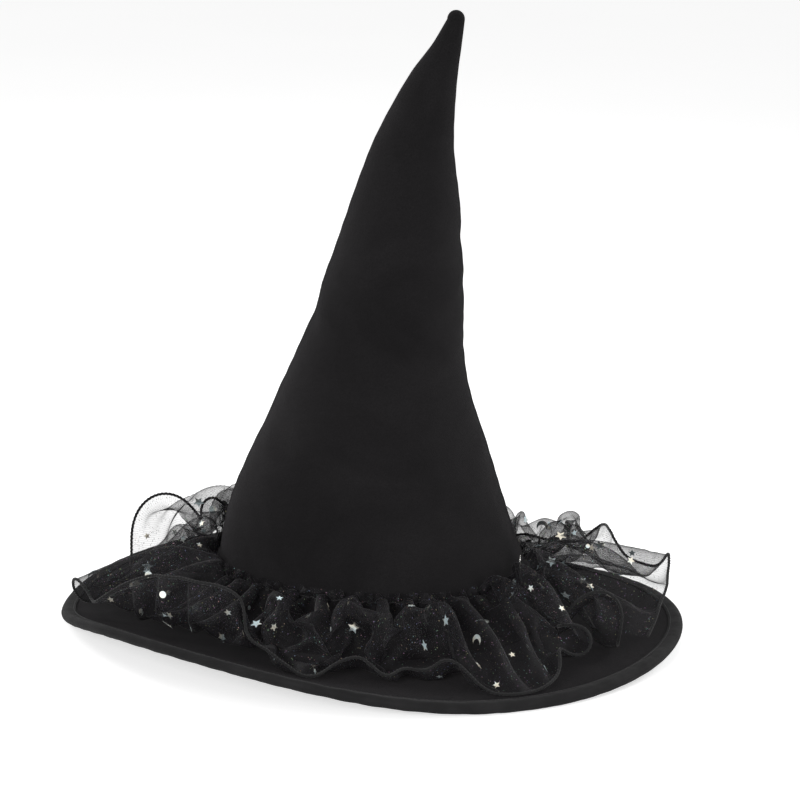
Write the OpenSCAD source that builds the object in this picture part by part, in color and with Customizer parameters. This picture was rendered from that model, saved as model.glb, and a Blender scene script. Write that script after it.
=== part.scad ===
// Witch hat: a tall leaning cloth crown on a wide wired brim, with a gathered organza ruffle.
// Units are millimetres. +Z is up, the hat stands on its rim, and the origin is on the
// surface it stands on, under the centre of the brim. -Y is the back of the wearer's head.

/* [Brim] */
// Radius of the brim
brim_r = 190; // [180:1:200]
// Height of the brim's inner edge above the surface the hat stands on
brim_seat_h = 6; // [5:0.5:8]
// How far the rim is lifted at the back left
rim_lift = 14; // [0:1:18]
// Height of the rim's three gentle waves
rim_wave = 8; // [0:1:9]
// Thickness of the felt board inside the brim
board_t = 2.4; // [2:0.2:2.8]
// Thickness of the brim cloth
cloth_t = 0.8; // [0.6:0.1:0.8]
// Width of the binding round the rim
binding_w = 9; // [8:0.5:10]

/* [Crown] */
// Radius of the crown where it meets the brim
crown_r = 102.5; // [102:0.5:104]
// Height of the crown from its base to the middle of the rounded tip
crown_h = 366; // [360:1:380]
// Radius of the rounded tip
tip_r = 5.4; // [5:0.1:6]
// Thickness of the crown's pile cloth
pile_t = 1.2; // [1:0.1:1.2]
// Thickness of the crown's foam interlining
foam_t = 2; // [1.6:0.1:2]
// Thickness of the lining
lining_t = 0.5; // [0.4:0.1:0.5]

/* [Bend] */
// Height of the bend above the surface the hat stands on
bend_z = 284; // [280:1:290]
// Radius of the stuffing's round top, which the tip turns over
bend_ball_r = 21; // [18:0.5:21]

/* [Head opening] */
// Radius inside the sweatband
head_r = 93; // [92.5:0.1:93]
// Height of the sweatband
sweatband_h = 21; // [18:1:21]

/* [Ruffle] */
// Height of the gathered heading above the surface the hat stands on
heading_z = 42; // [40:1:44]
// Reach of the ruffle out from the crown
ruffle_reach = 80; // [60:1:82]
// Number of large folds round the ruffle
fold_n = 12; // [8:1:12]
// Number of foil stars
star_n = 16; // [8:1:20]
// Number of foil dots
dot_n = 9; // [4:1:12]
// Number of foil crescents
moon_n = 4; // [2:1:5]

/* [Hidden] */

velvet = [0.10, 0.10, 0.11];
organza = [0.24, 0.24, 0.27];
silver = [0.82, 0.82, 0.80];
thread_c = [0.16, 0.16, 0.17];

gap = 0.2;                            // room left between neighbouring layers
brim_n = 60;                          // facets round the brim
crown_n = 32;                         // facets round the crown
ruffle_n = 120;                       // facets round the ruffle

// ---- crown outline: radius and lean at even steps of height --------------------------
crown_base = brim_seat_h + board_t / 2 + gap + cloth_t + 0.4;
// radius as a share of the base radius, and sideways lean in mm
STATIONS = [
    [1.00, 0], [0.91, -2.5], [0.805, -4.8], [0.675, -4.3], [0.54, -2.5], [0.449, 2.6],
    [0.38, 6.9], [0.313, 10.7], [0.227, 14.7], [0.144, 24], [0.053, 36.7]];
last = len(STATIONS) - 1;
function station(i) = STATIONS[max(0, min(last, i))];
function ease(a, b, c, d, t) =
    b + 0.5 * t * (c - a + t * (2 * a - 5 * b + 4 * c - d + t * (3 * (b - c) + d - a)));
function along(z) = max(0, min(last - 0.001, (z - crown_base) / crown_h * last));
function mix(z, k) = let (u = along(z), i = floor(u))
    ease(station(i - 1)[k], station(i)[k], station(i + 1)[k], station(i + 2)[k], u - i);
function crown_radius(z) = crown_r * mix(z, 0);
function crown_lean(z) = z < crown_base + 20 ? 0 : mix(z, 1) * min(1, (z - crown_base - 20) / 40);

// ---- brim surface: flat at the head, wavy and lifted at the rim ------------------------
hole_r = head_r + 0.8 + 0.5;
lift_angle = 220;                     // direction of the lifted stretch of rim
function turn(a) = let (d = (a - lift_angle) % 360) d > 180 ? d - 360 : d < -180 ? d + 360 : d;
function lift_share(d) = abs(d) < (d < 0 ? 48 : 72) ? pow(cos(90 * d / (d < 0 ? 48 : 72)), 2) : 0;
binding_t = 0.8;
binding_room = 0.4;
rim_half = board_t / 2 + gap + cloth_t + binding_room + binding_t;
function rim_z(a) = rim_half + rim_wave * (1 - cos(3 * (a + 60))) / 2
    + rim_lift * lift_share(turn(a));
function brim_z(r, a) = let (t = max(0, (r - hole_r) / (brim_r - hole_r)))
    brim_seat_h + (rim_z(a) - brim_seat_h) * t * t;

// ---- closed solids from grids of points -------------------------------------------------
function quad(a, b, c, d) = [[a, b, c], [a, c, d]];

// A sheet with thickness. outer and inner are grids of the same size, rows upwards and
// columns anticlockwise. closed joins the last column to the first.
module sheet(outer, inner, closed = true) {
    rows = len(outer);
    cols = len(outer[0]);
    half = rows * cols;
    span = closed ? cols : cols - 1;
    flat = [for (row = concat(outer, inner)) each row];
    function at(i, j) = i * cols + j % cols;
    walls = [
        for (i = [0:rows - 2]) for (j = [0:span - 1])
            each concat(
                quad(at(i, j), at(i + 1, j), at(i + 1, j + 1), at(i, j + 1)),
                quad(half + at(i, j), half + at(i, j + 1),
                     half + at(i + 1, j + 1), half + at(i + 1, j)))];
    rims = [
        for (j = [0:span - 1])
            each concat(
                quad(at(0, j), at(0, j + 1), half + at(0, j + 1), half + at(0, j)),
                quad(at(rows - 1, j), half + at(rows - 1, j),
                     half + at(rows - 1, j + 1), at(rows - 1, j + 1)))];
    ends = closed ? [] : [
        for (i = [0:rows - 2])
            each concat(
                quad(at(i, 0), half + at(i, 0), half + at(i + 1, 0), at(i + 1, 0)),
                quad(at(i, span), at(i + 1, span),
                     half + at(i + 1, span), half + at(i, span)))];
    polyhedron(points = flat, faces = concat(walls, rims, ends), convexity = 8);
}

// A closed strand: one ring of section points at each step round the hat.
module strand(rings) {
    steps = len(rings);
    sides = len(rings[0]);
    flat = [for (ring = rings) each ring];
    function at(i, k) = (i % steps) * sides + k % sides;
    faces = [for (i = [0:steps - 1]) for (k = [0:sides - 1])
        each quad(at(i, k), at(i + 1, k), at(i + 1, k + 1), at(i, k + 1))];
    polyhedron(points = flat, faces = faces, convexity = 8);
}

// ---- crown layers -------------------------------------------------------------------------
function ring(z, inset, a0, a1, n) = [for (j = [0:n])
    let (a = a0 + (a1 - a0) * j / n, r = crown_radius(z) - inset)
    [crown_lean(z) + r * cos(a), r * sin(a), z]];
function grid(heights, inset, a0, a1, n) = [for (z = heights) ring(z, inset, a0, a1, n)];
function levels(z0, z1, n) = [for (i = [0:n]) z0 + (z1 - z0) * i / n];
function first(list, n) = [for (i = [0:n - 1]) list[i]];

// The rounded end above the last station, as rings of a half sphere
dome_z = crown_base + crown_h - 1;
function dome_ring(step, inset, a0, a1, n) = let (b = 18 * step, r = crown_radius(dome_z))
    [for (j = [0:n]) let (a = a0 + (a1 - a0) * j / n)
        [crown_lean(dome_z) + (r - inset) * cos(b) * cos(a), (r - inset) * cos(b) * sin(a),
         dome_z + (r - inset) * sin(b)]];
function dome(inset, a0, a1, n) = [for (s = [1:4]) dome_ring(s, inset, a0, a1, n)];

module crown_layer(heights, inset, t, a0 = 0, a1 = 360) {
    round = a1 - a0 == 360;
    n = round ? crown_n - 1 : crown_n / 2;
    end = round ? a1 - 360 / crown_n : a1;
    sheet(grid(heights, inset, a0, end, n), grid(heights, inset + t, a0, end, n), round);
}

module tip_layer(steps, inset, t, a0 = 0, a1 = 360) {
    round = a1 - a0 == 360;
    n = round ? crown_n - 1 : crown_n / 2;
    end = round ? a1 - 360 / crown_n : a1;
    heights = levels(tip_low, dome_z, steps);
    outer = concat(grid(heights, inset, a0, end, n), dome(inset, a0, end, n));
    inner = concat(grid(heights, inset + t, a0, end, n), dome(inset + t, a0, end, n));
    sheet(outer, inner, round);
}

seam_gap = 0.15;                      // half the room between the two panels, in degrees
crown_top = bend_z - 13;
tip_low = bend_z - 2;
crown_rows = 14;
crown_levels = levels(crown_base, crown_top, crown_rows);
tip_rows = 6;
foam_in = pile_t + gap;
lining_in = foam_in + foam_t + gap;
bend_x = crown_lean(bend_z);

module crown_back_panel() {
    color(velvet)
        crown_layer(crown_levels, 0, pile_t, 180 + seam_gap, 360 - seam_gap);
}

module crown_front_panel() {
    color(velvet * 1.2)
        crown_layer(crown_levels, 0, pile_t, seam_gap, 180 - seam_gap);
}

module crown_interlining() {
    color([0.55, 0.55, 0.52])
        crown_layer(crown_levels, foam_in, foam_t);
}

module crown_lining() {
    color([0.3, 0.3, 0.33])
        crown_layer(first(crown_levels, crown_rows - 2), lining_in, lining_t);
}

// Fibre wad: a tapered plug in the narrow part of the crown, with a round top
module crown_stuffing() {
    plug_low = bend_z - 48;
    plug_high = bend_z - 24;
    shift = crown_lean(plug_high) - crown_lean(plug_low);
    plug_r = crown_radius(plug_high) - lining_in - lining_t - shift - 1;
    color([0.85, 0.85, 0.8])
        union() {
            translate([bend_x, 0, bend_z]) sphere(r = bend_ball_r, $fn = 64);
            translate([crown_lean(plug_low), 0, plug_low])
                cylinder(r = plug_r, h = plug_high - plug_low, $fn = 64);
            translate([bend_x, 0, plug_high - 4]) cylinder(r = 12, h = 12, $fn = 48);
        }
}

module crown_seam_tape() {
    tape_h = 5;
    color([0.2, 0.2, 0.2])
        translate([0, 0, crown_base])
            difference() {
                cylinder(r = head_r + 2.3, h = tape_h, $fn = 128);
                translate([0, 0, -1]) cylinder(r = head_r + 1.2, h = tape_h + 2, $fn = 128);
            }
}

// ---- head opening --------------------------------------------------------------------------
band_low = 3;
band_t = 0.8;

module sweatband() {
    color([0.13, 0.12, 0.12])
        translate([0, 0, band_low])
            difference() {
                cylinder(r = head_r + band_t, h = sweatband_h, $fn = 128);
                translate([0, 0, -1]) cylinder(r = head_r, h = sweatband_h + 2, $fn = 128);
            }
}

// Short stitches standing on a circle, each lying along it
module stitches(n, r, z, length, width, height) {
    for (i = [0:n - 1])
        rotate([0, 0, 360 * i / n])
            translate([r - height / 2, -length / 2, z - width / 2])
                cube([height, length, width]);
}

module sweatband_stitching() {
    stitch_n = 48;
    color(thread_c)
        stitches(stitch_n, head_r + band_t + 0.25, band_low + sweatband_h - 3, 4, 0.4, 0.2);
}

module care_label() {
    label_w = 26;
    label_h = 20;
    label_low = band_low + sweatband_h + 3;
    slope = atan((crown_radius(label_low) - crown_radius(label_low + label_h)) / label_h);
    color([0.93, 0.93, 0.9])
        translate([0, -(crown_radius(label_low) - lining_in - lining_t - 2), label_low])
            rotate([-slope, 0, 0])
                translate([-label_w / 2, 0, 0])
                    cube([label_w, 0.4, label_h]);
}

// ---- brim ----------------------------------------------------------------------------------
function brim_grid(r0, r1, rows, dz) = [for (i = [0:rows])
    let (r = r1 + (r0 - r1) * i / rows)
    [for (j = [0:brim_n - 1])
        let (a = 360 * j / brim_n) [r * cos(a), r * sin(a), brim_z(r, a) + dz]]];

module brim_layer(r1, low, high, rows = 4) {
    sheet(brim_grid(hole_r, r1, rows, high), brim_grid(hole_r, r1, rows, low));
}

board_half = board_t / 2;
cloth_low = board_half + gap;
cloth_high = cloth_low + cloth_t;
cloth_end = brim_r - 4.6;

module brim_stiffener() {
    color([0.4, 0.38, 0.35]) brim_layer(brim_r - 5, -board_half, board_half);
}

module brim_top_cloth() {
    color(velvet) brim_layer(cloth_end, cloth_low, cloth_high);
}

module brim_under_cloth() {
    color(velvet * 1.3) brim_layer(cloth_end, -cloth_high, -cloth_low);
}

// Sweeps a section of [outwards, upwards] points, measured from the rim, round the brim
module rim_strand(section) {
    strand([for (j = [0:brim_n - 1]) let (a = 360 * j / brim_n)
        [for (p = section) let (r = brim_r + p[0])
            [r * cos(a), r * sin(a), brim_z(r, a) + p[1]]]]);
}

module brim_edge_wire() {
    wire_r = 1;
    color(silver)
        rim_strand([for (k = [0:5]) [-2.7 + wire_r * cos(-60 * k), wire_r * sin(-60 * k)]]);
}

module brim_binding() {
    outer = rim_half;
    inner = rim_half - binding_t;
    color([0.14, 0.14, 0.15])
        rim_strand([
            [-binding_w, outer], [-3, outer], [-0.8, outer * 0.6], [0, 0], [-0.8, -outer * 0.6],
            [-3, -outer], [-binding_w, -outer], [-binding_w, -inner], [-3.6, -inner],
            [-1.3, -inner * 0.45], [-1.3, inner * 0.45], [-3.6, inner], [-binding_w, inner]]);
}

module binding_stitching() {
    stitch_n = 60;
    r = brim_r - binding_w + 2;
    color(thread_c)
        for (i = [0:stitch_n - 1]) let (a = 360 * (i + 0.5) / stitch_n)
            translate([r * cos(a), r * sin(a), brim_z(r, a) + rim_half + 0.5])
                rotate([0, 0, a])
                    translate([-0.25, -2, 0])
                        cube([0.5, 4, 0.3]);
}

// ---- ruffle --------------------------------------------------------------------------------
ruffle_t = 1.2;
heading_r = crown_radius(heading_z) + 2.6;

// A point of the ruffle's middle surface: a is the angle round the crown, s runs from the
// heading at 0 to the hem at 1
function side_rise(a) = 26 * pow(cos(a), 2);
function ruffle_point(a, s) =
    let (swing = sin(fold_n * a), sway = cos((fold_n - 5) * a + 40),
         r = heading_r + 3 + ruffle_reach * s * (0.9 + 0.08 * sway),
         z = heading_z - 16 * s + (8 * swing + side_rise(a)) * s * (1.6 - 0.6 * s))
    [crown_lean(heading_z) + r * cos(a), r * sin(a), z];
function ruffle_grid(rows, dz) = [for (i = [0:rows])
    [for (j = [0:ruffle_n - 1])
        ruffle_point(360 * j / ruffle_n, 1 - i / rows) + [0, 0, dz]]];

module ruffle_strip() {
    rows = 4;
    color(organza) sheet(ruffle_grid(rows, ruffle_t / 2), ruffle_grid(rows, -ruffle_t / 2));
}

module ruffle_hem() {
    hem_r = 1.1;
    color([0.05, 0.05, 0.05])
        strand([for (j = [0:ruffle_n - 1]) let (a = 360 * j / ruffle_n, p = ruffle_point(a, 1))
            [for (k = [0:5]) let (o = hem_r + 0.25 + hem_r * cos(-60 * k))
                p + [o * cos(a), o * sin(a), hem_r * sin(-60 * k)]]]);
}

// Gathered upper edge: a thin ring that leans with the crown
module ruffle_heading() {
    head_h = 6;
    slope = (crown_radius(heading_z - 3) - crown_radius(heading_z + 3)) / 6;
    r = crown_radius(heading_z) + 1.1;
    color([0.08, 0.08, 0.09])
        translate([crown_lean(heading_z), 0, heading_z - 1])
            rotate_extrude($fn = 96)
                polygon([[r, 0], [r + 1.6, 0], [r + 1.6 - head_h * slope, head_h],
                         [r - head_h * slope, head_h]]);
}

module ruffle_stitching() {
    stitch_n = 54;
    stitch_h = heading_z + 3;
    slope = (crown_radius(heading_z - 3) - crown_radius(heading_z + 3)) / 6;
    r = crown_radius(heading_z) + 1.1 + 1.6 - 4 * slope + 0.5;
    color(thread_c)
        translate([crown_lean(heading_z), 0, 0])
            stitches(stitch_n, r, stitch_h, 5, 0.5, 0.3);
}

// Where a foil print lies: just above the organza and parallel to it
function flat_run(p, q) = norm([q[0] - p[0], q[1] - p[1]]);
module on_ruffle(a, s) {
    p = ruffle_point(a, s);
    out = ruffle_point(a, s + 0.04);
    side = ruffle_point(a + 1.5, s);
    pitch = atan2(out[2] - p[2], flat_run(p, out));
    roll = atan2(side[2] - p[2], flat_run(p, side));
    translate(p + [0, 0, ruffle_t / 2 + 1])
        rotate([0, 0, a])
            rotate([0, -pitch, 0])
                rotate([roll, 0, 0])
                    children();
}

foil_t = 0.3;
golden = 137.5;                       // turn that spreads the prints evenly

module ruffle_stars() {
    color(silver)
        for (i = [0:star_n - 1])
            on_ruffle(golden * i, 0.4 + 0.45 * ((i * 0.618) % 1))
                linear_extrude(foil_t)
                    polygon([for (k = [0:9]) let (r = k % 2 == 0 ? 3 : 1.3)
                        [r * cos(36 * k), r * sin(36 * k)]]);
}

module ruffle_dots() {
    color(silver)
        for (i = [0:dot_n - 1])
            on_ruffle(golden * i + 61, 0.45 + 0.4 * ((i * 0.618 + 0.3) % 1))
                cylinder(r = 2.1, h = foil_t, $fn = 24);
}

module ruffle_moons() {
    color(silver)
        for (i = [0:moon_n - 1])
            on_ruffle(golden * i + 23, 0.5 + 0.3 * ((i * 0.618 + 0.6) % 1))
                linear_extrude(foil_t)
                    difference() {
                        circle(r = 3.6, $fn = 32);
                        translate([1.8, 0]) circle(r = 3, $fn = 32);
                    }
}

// Straight pin beside the lapped ends, outside the heading and lying along the crown
module ruffle_pin() {
    pin_len = 20;
    pin_low = heading_z + 8;
    pin_angle = -26;
    slope = atan((crown_radius(pin_low) - crown_radius(pin_low + pin_len)) / pin_len);
    color(silver)
        translate([crown_lean(heading_z), 0, 0])
            rotate([0, 0, pin_angle])
                translate([crown_radius(pin_low) + 1.8, 0, pin_low])
                    rotate([0, -slope - 2, 0])
                        union() {
                            cylinder(r = 0.4, h = pin_len, $fn = 16);
                            sphere(r = 1.1, $fn = 24);
                        }
}

// ---- tip -----------------------------------------------------------------------------------
module tip_back_panel() {
    color(velvet) tip_layer(tip_rows, 0, pile_t, 180 + seam_gap * 3, 360 - seam_gap * 3);
}

module tip_front_panel() {
    color(velvet * 1.2) tip_layer(tip_rows, 0, pile_t, seam_gap * 3, 180 - seam_gap * 3);
}

module tip_interlining() {
    color([0.55, 0.55, 0.52]) tip_layer(tip_rows, foam_in, foam_t);
}

module tip_stuffing() {
    wad_low = bend_z + bend_ball_r + 2;
    wad_high = bend_z + 58;
    shift = (crown_lean(wad_high) - crown_lean(wad_low)) / (wad_high - wad_low);
    low_r = crown_radius(wad_low) - lining_in - 1.5;
    high_r = crown_radius(wad_high) - lining_in - 1.5;
    color([0.85, 0.85, 0.8])
        translate([crown_lean(wad_low), 0, wad_low])
            rotate([0, atan(shift), 0])
                cylinder(r1 = low_r - 2, r2 = high_r - 1, h = wad_high - wad_low, $fn = 48);
}

crown_back_panel();
crown_front_panel();
crown_interlining();
crown_lining();
crown_stuffing();
crown_seam_tape();
sweatband();
sweatband_stitching();
care_label();
brim_top_cloth();
brim_under_cloth();
brim_stiffener();
brim_edge_wire();
brim_binding();
binding_stitching();
ruffle_strip();
ruffle_heading();
ruffle_stitching();
ruffle_hem();
ruffle_stars();
ruffle_dots();
ruffle_moons();
ruffle_pin();
tip_back_panel();
tip_front_panel();
tip_interlining();
tip_stuffing();
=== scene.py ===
# %% [markdown]
# # Witch hat
# A tall leaning cloth crown on a wide wired brim, with a gathered sheer ruffle printed with foil
# stars. The imported CAD model is the frame: it says how big everything is and where it sits. This
# file dresses that frame. Each hidden CAD solid is replaced by a finished piece in the same place,
# and the CAD solids that stay get finishes. Most pieces hang from one crown body.

# %% Load the frame
import math

import bpy
import numpy as np
from mathutils import Matrix, Vector, noise


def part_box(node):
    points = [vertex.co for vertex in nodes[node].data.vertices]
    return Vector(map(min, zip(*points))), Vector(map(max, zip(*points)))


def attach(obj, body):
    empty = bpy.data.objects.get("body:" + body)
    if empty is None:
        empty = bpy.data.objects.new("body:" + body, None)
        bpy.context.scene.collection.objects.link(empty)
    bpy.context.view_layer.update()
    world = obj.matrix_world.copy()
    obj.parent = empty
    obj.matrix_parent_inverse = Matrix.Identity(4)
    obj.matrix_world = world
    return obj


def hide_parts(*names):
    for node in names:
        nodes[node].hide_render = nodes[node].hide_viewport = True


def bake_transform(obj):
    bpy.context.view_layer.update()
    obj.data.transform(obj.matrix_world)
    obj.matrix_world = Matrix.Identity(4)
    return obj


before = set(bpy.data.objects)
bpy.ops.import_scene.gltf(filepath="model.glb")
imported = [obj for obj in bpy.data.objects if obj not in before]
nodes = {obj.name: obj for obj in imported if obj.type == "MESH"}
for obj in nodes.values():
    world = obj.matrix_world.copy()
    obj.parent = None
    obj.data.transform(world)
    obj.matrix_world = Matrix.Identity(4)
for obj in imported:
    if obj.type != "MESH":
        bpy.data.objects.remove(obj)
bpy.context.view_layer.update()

MM = 0.001

# %% [markdown]
# ## Camera
# The camera stands a little above the brim, two metres behind the wearer, with a long lens so
# that the brim's ellipse stays shallow. It is rolled by two degrees, because the hat sits
# slightly askew on the head.

# %% Camera
CAMERA_AWAY = 2.09
CAMERA_UP_DEG = 11.21
CAMERA_ROLL_DEG = 2.19
CAMERA_LENS = 156.0
LOOKED_THROUGH = Vector((0, 0, 0.185))
AIMED_AT = Vector((0.0118, -0.0076, 0.1471))

up_angle = math.radians(CAMERA_UP_DEG)
camera = bpy.data.objects.new("camera", bpy.data.cameras.new("camera"))
bpy.context.collection.objects.link(camera)
camera.data.lens = CAMERA_LENS
camera.data.sensor_width = 36
camera.location = LOOKED_THROUGH + CAMERA_AWAY * Vector((0, -math.cos(up_angle), math.sin(up_angle)))
looking = (AIMED_AT - camera.location).to_track_quat("-Z", "Y").to_matrix()
camera.rotation_euler = (looking @ Matrix.Rotation(math.radians(CAMERA_ROLL_DEG), 3, "Z")).to_euler()
bpy.context.scene.camera = camera
# several sheer layers lie behind each other, so light passes through many surfaces
bpy.context.scene.cycles.transparent_max_bounces = 48

# %% [markdown]
# ## Small helpers
# Every piece is made as plain arrays of points, then turned into a mesh. A cloth piece is a grid
# of points: rows run one way, columns the other, and the last column may join the first.


# %% Mesh helpers
def material_on(piece, material):
    piece.data.materials.clear()
    piece.data.materials.append(material)


def new_piece(name, points, faces, material=None, smooth=True):
    """A mesh object at the origin, made from arrays of points and faces."""
    mesh = bpy.data.meshes.new(name)
    mesh.from_pydata([tuple(p) for p in points], [], [tuple(f) for f in faces])
    mesh.validate()
    mesh.polygons.foreach_set("use_smooth", [smooth] * len(mesh.polygons))
    mesh.update()
    piece = bpy.data.objects.new(name, mesh)
    bpy.context.collection.objects.link(piece)
    if material is not None:
        material_on(piece, material)
    return piece


def grid_faces(rows, cols, around=False, start=0, flip=False):
    """Faces of a grid of points that are stored row after row."""
    faces = []
    for i in range(rows - 1):
        for j in range(cols if around else cols - 1):
            k = (j + 1) % cols
            a, b = start + i * cols + j, start + i * cols + k
            c, d = a + cols, b + cols
            faces.append((a, c, d, b) if flip else (a, b, d, c))
    return faces


def thick_sheet(name, outer, inner, around, material):
    """A closed sheet between two grids of the same size: outer faces out, and walls join the rims."""
    rows, cols = outer.shape[:2]
    half = rows * cols
    points = np.concatenate([outer.reshape(-1, 3), inner.reshape(-1, 3)])
    faces = grid_faces(rows, cols, around) + grid_faces(rows, cols, around, half, True)
    for j in range(cols if around else cols - 1):
        k = (j + 1) % cols
        faces.append((j, half + j, half + k, k))
        low, high = (rows - 1) * cols + j, (rows - 1) * cols + k
        faces.append((low, high, half + high, half + low))
    if not around:
        for i in range(rows - 1):
            a, c = i * cols, (i + 1) * cols
            faces.append((a, c, half + c, half + a))
            b, d = a + cols - 1, c + cols - 1
            faces.append((b, half + b, half + d, d))
    return new_piece(name, points, faces, material)


def ring_tube(name, sections, material, closed=True):
    """A tube: one ring of points for each step along a path."""
    steps, sides = sections.shape[:2]
    faces = []
    for i in range(steps if closed else steps - 1):
        n = (i + 1) % steps
        for k in range(sides):
            m = (k + 1) % sides
            faces.append((i * sides + k, i * sides + m, n * sides + m, n * sides + k))
    if not closed:
        faces.append(tuple(range(sides - 1, -1, -1)))
        faces.append(tuple((steps - 1) * sides + k for k in range(sides)))
    return new_piece(name, sections.reshape(-1, 3), faces, material)


def curve_through(known_x, known_y, x):
    """A smooth curve through known points, for any number of columns of known_y."""
    known_x, known_y, x = np.asarray(known_x), np.asarray(known_y, float), np.asarray(x)
    slopes = np.gradient(known_y, known_x, axis=0)
    i = np.clip(np.searchsorted(known_x, x) - 1, 0, len(known_x) - 2)
    gap = (known_x[i + 1] - known_x[i])
    t = (x - known_x[i]) / gap
    if known_y.ndim == 2:
        t, gap = t[:, None], gap[:, None]
    return (
        (2 * t**3 - 3 * t**2 + 1) * known_y[i]
        + (t**3 - 2 * t**2 + t) * gap * slopes[i]
        + (3 * t**2 - 2 * t**3) * known_y[i + 1]
        + (t**3 - t**2) * gap * slopes[i + 1]
    )


def soft_noise(points, size, seed=0.0):
    """Smooth noise between about -1 and 1, with bumps of the given size in metres."""
    shift = Vector((seed * 7.31, seed * 3.17, seed * 5.53))
    flat = points.reshape(-1, 3) / size
    values = [noise.noise(Vector(p) + shift) for p in flat]
    return np.array(values).reshape(points.shape[:-1])


def triangles(piece):
    return sum(len(p.vertices) - 2 for p in piece.data.polygons)


# %% [markdown]
# ## What the frame says
# The crown's outline is read back from the CAD panels: at each height their points give the
# middle of the crown and its radius. The rim's height is read from the felt board inside the
# brim. Everything else is worked out from these two curves, so the looks follow the design.


# %% Read the crown's outline and the rim's height
def node_points(name):
    mesh = nodes[name].data
    points = np.empty(len(mesh.vertices) * 3)
    mesh.vertices.foreach_get("co", points)
    return points.reshape(-1, 3)


def outline_of(names, step=2e-4):
    """Heights, middles and radii of the outer surface, one for each row of points."""
    rows = {}
    for p in np.concatenate([node_points(n) for n in names]):
        rows.setdefault(round(p[2] / step), []).append(p)
    found = []
    for row in rows.values():
        row = np.array(row)
        low, high = row[:, 0].min(), row[:, 0].max()
        found.append((row[:, 2].mean(), (low + high) / 2, (high - low) / 2))
    return np.array(sorted(found))


crown_rows = outline_of(["crown_back_panel", "crown_front_panel"])
tip_rows = outline_of(["tip_back_panel", "tip_front_panel"])
dome_row = int(np.argmax(tip_rows[:, 0] > tip_rows[-1, 0] - 5.0 * MM)) - 1
outline = np.concatenate([crown_rows, tip_rows[: dome_row + 1]])
crown_base, dome_z = outline[0, 0], outline[-1, 0]


def crown_at(z):
    """Middle and radius of the crown's outer surface at each height, as two arrays."""
    z = np.clip(np.asarray(z, float), crown_base, dome_z)
    both = curve_through(outline[:, 0], outline[:, 1:], z.ravel())
    return both[:, 0].reshape(z.shape), both[:, 1].reshape(z.shape)


board = node_points("brim_stiffener")
board_r = np.hypot(board[:, 0], board[:, 1])
hole_r, board_end = board_r.min(), board_r.max()
brim_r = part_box("brim_binding")[1][0]
seat_z = board[board_r < hole_r + MM][:, 2].mean()
edge = board[board_r > board_end - MM]
edge_angle = np.round(np.degrees(np.arctan2(edge[:, 1], edge[:, 0]))) % 360
edge_steps = np.unique(edge_angle)
edge_z = np.array([edge[edge_angle == a][:, 2].mean() for a in edge_steps])
edge_share = ((board_end - hole_r) / (brim_r - hole_r)) ** 2
rim_heights = seat_z + (edge_z - seat_z) / edge_share


def rim_z(degrees):
    """Height of the middle of the rim in each direction."""
    around = np.concatenate([edge_steps - 360, edge_steps, edge_steps + 360])
    flat = np.asarray(degrees, float) % 360
    return curve_through(around, np.tile(rim_heights, 3), flat.ravel()).reshape(flat.shape)


def brim_z(r, degrees):
    """Height of the middle of the brim: level at the head, wavy at the rim."""
    share = np.clip((r - hole_r) / (brim_r - hole_r), 0, 1.02) ** 2
    return seat_z + (rim_z(degrees) - seat_z) * share


def layer_of(name):
    """How far a brim layer's two faces lie above the middle of the brim."""
    points = node_points(name)
    near = points[np.hypot(points[:, 0], points[:, 1]) < hole_r + MM]
    return near[:, 2].min() - seat_z, near[:, 2].max() - seat_z


def round_points(r, degrees, z, lean=0.0):
    angle = np.radians(degrees)
    return np.stack(np.broadcast_arrays(lean + r * np.cos(angle), r * np.sin(angle), z), axis=-1)


top_cloth_low, top_cloth_high = layer_of("brim_top_cloth")
print(f"crown {crown_base:.4f} to {dome_z:.4f} m, brim radius {brim_r:.3f} m")
print("rim height from", rim_heights.min().round(4), "to", rim_heights.max().round(4))

# %% [markdown]
# ## Shared finishes as node groups
# Three effects are used by several materials, so each is a node group that is built once.
# *pile nap* gives the tiny tufts of a velvet-like cloth and the cloudy patches where the pile has
# been brushed another way. *woven threads* crosses two sets of ridges. *twisted thread* wraps
# slanted ridges round a thread.


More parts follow.
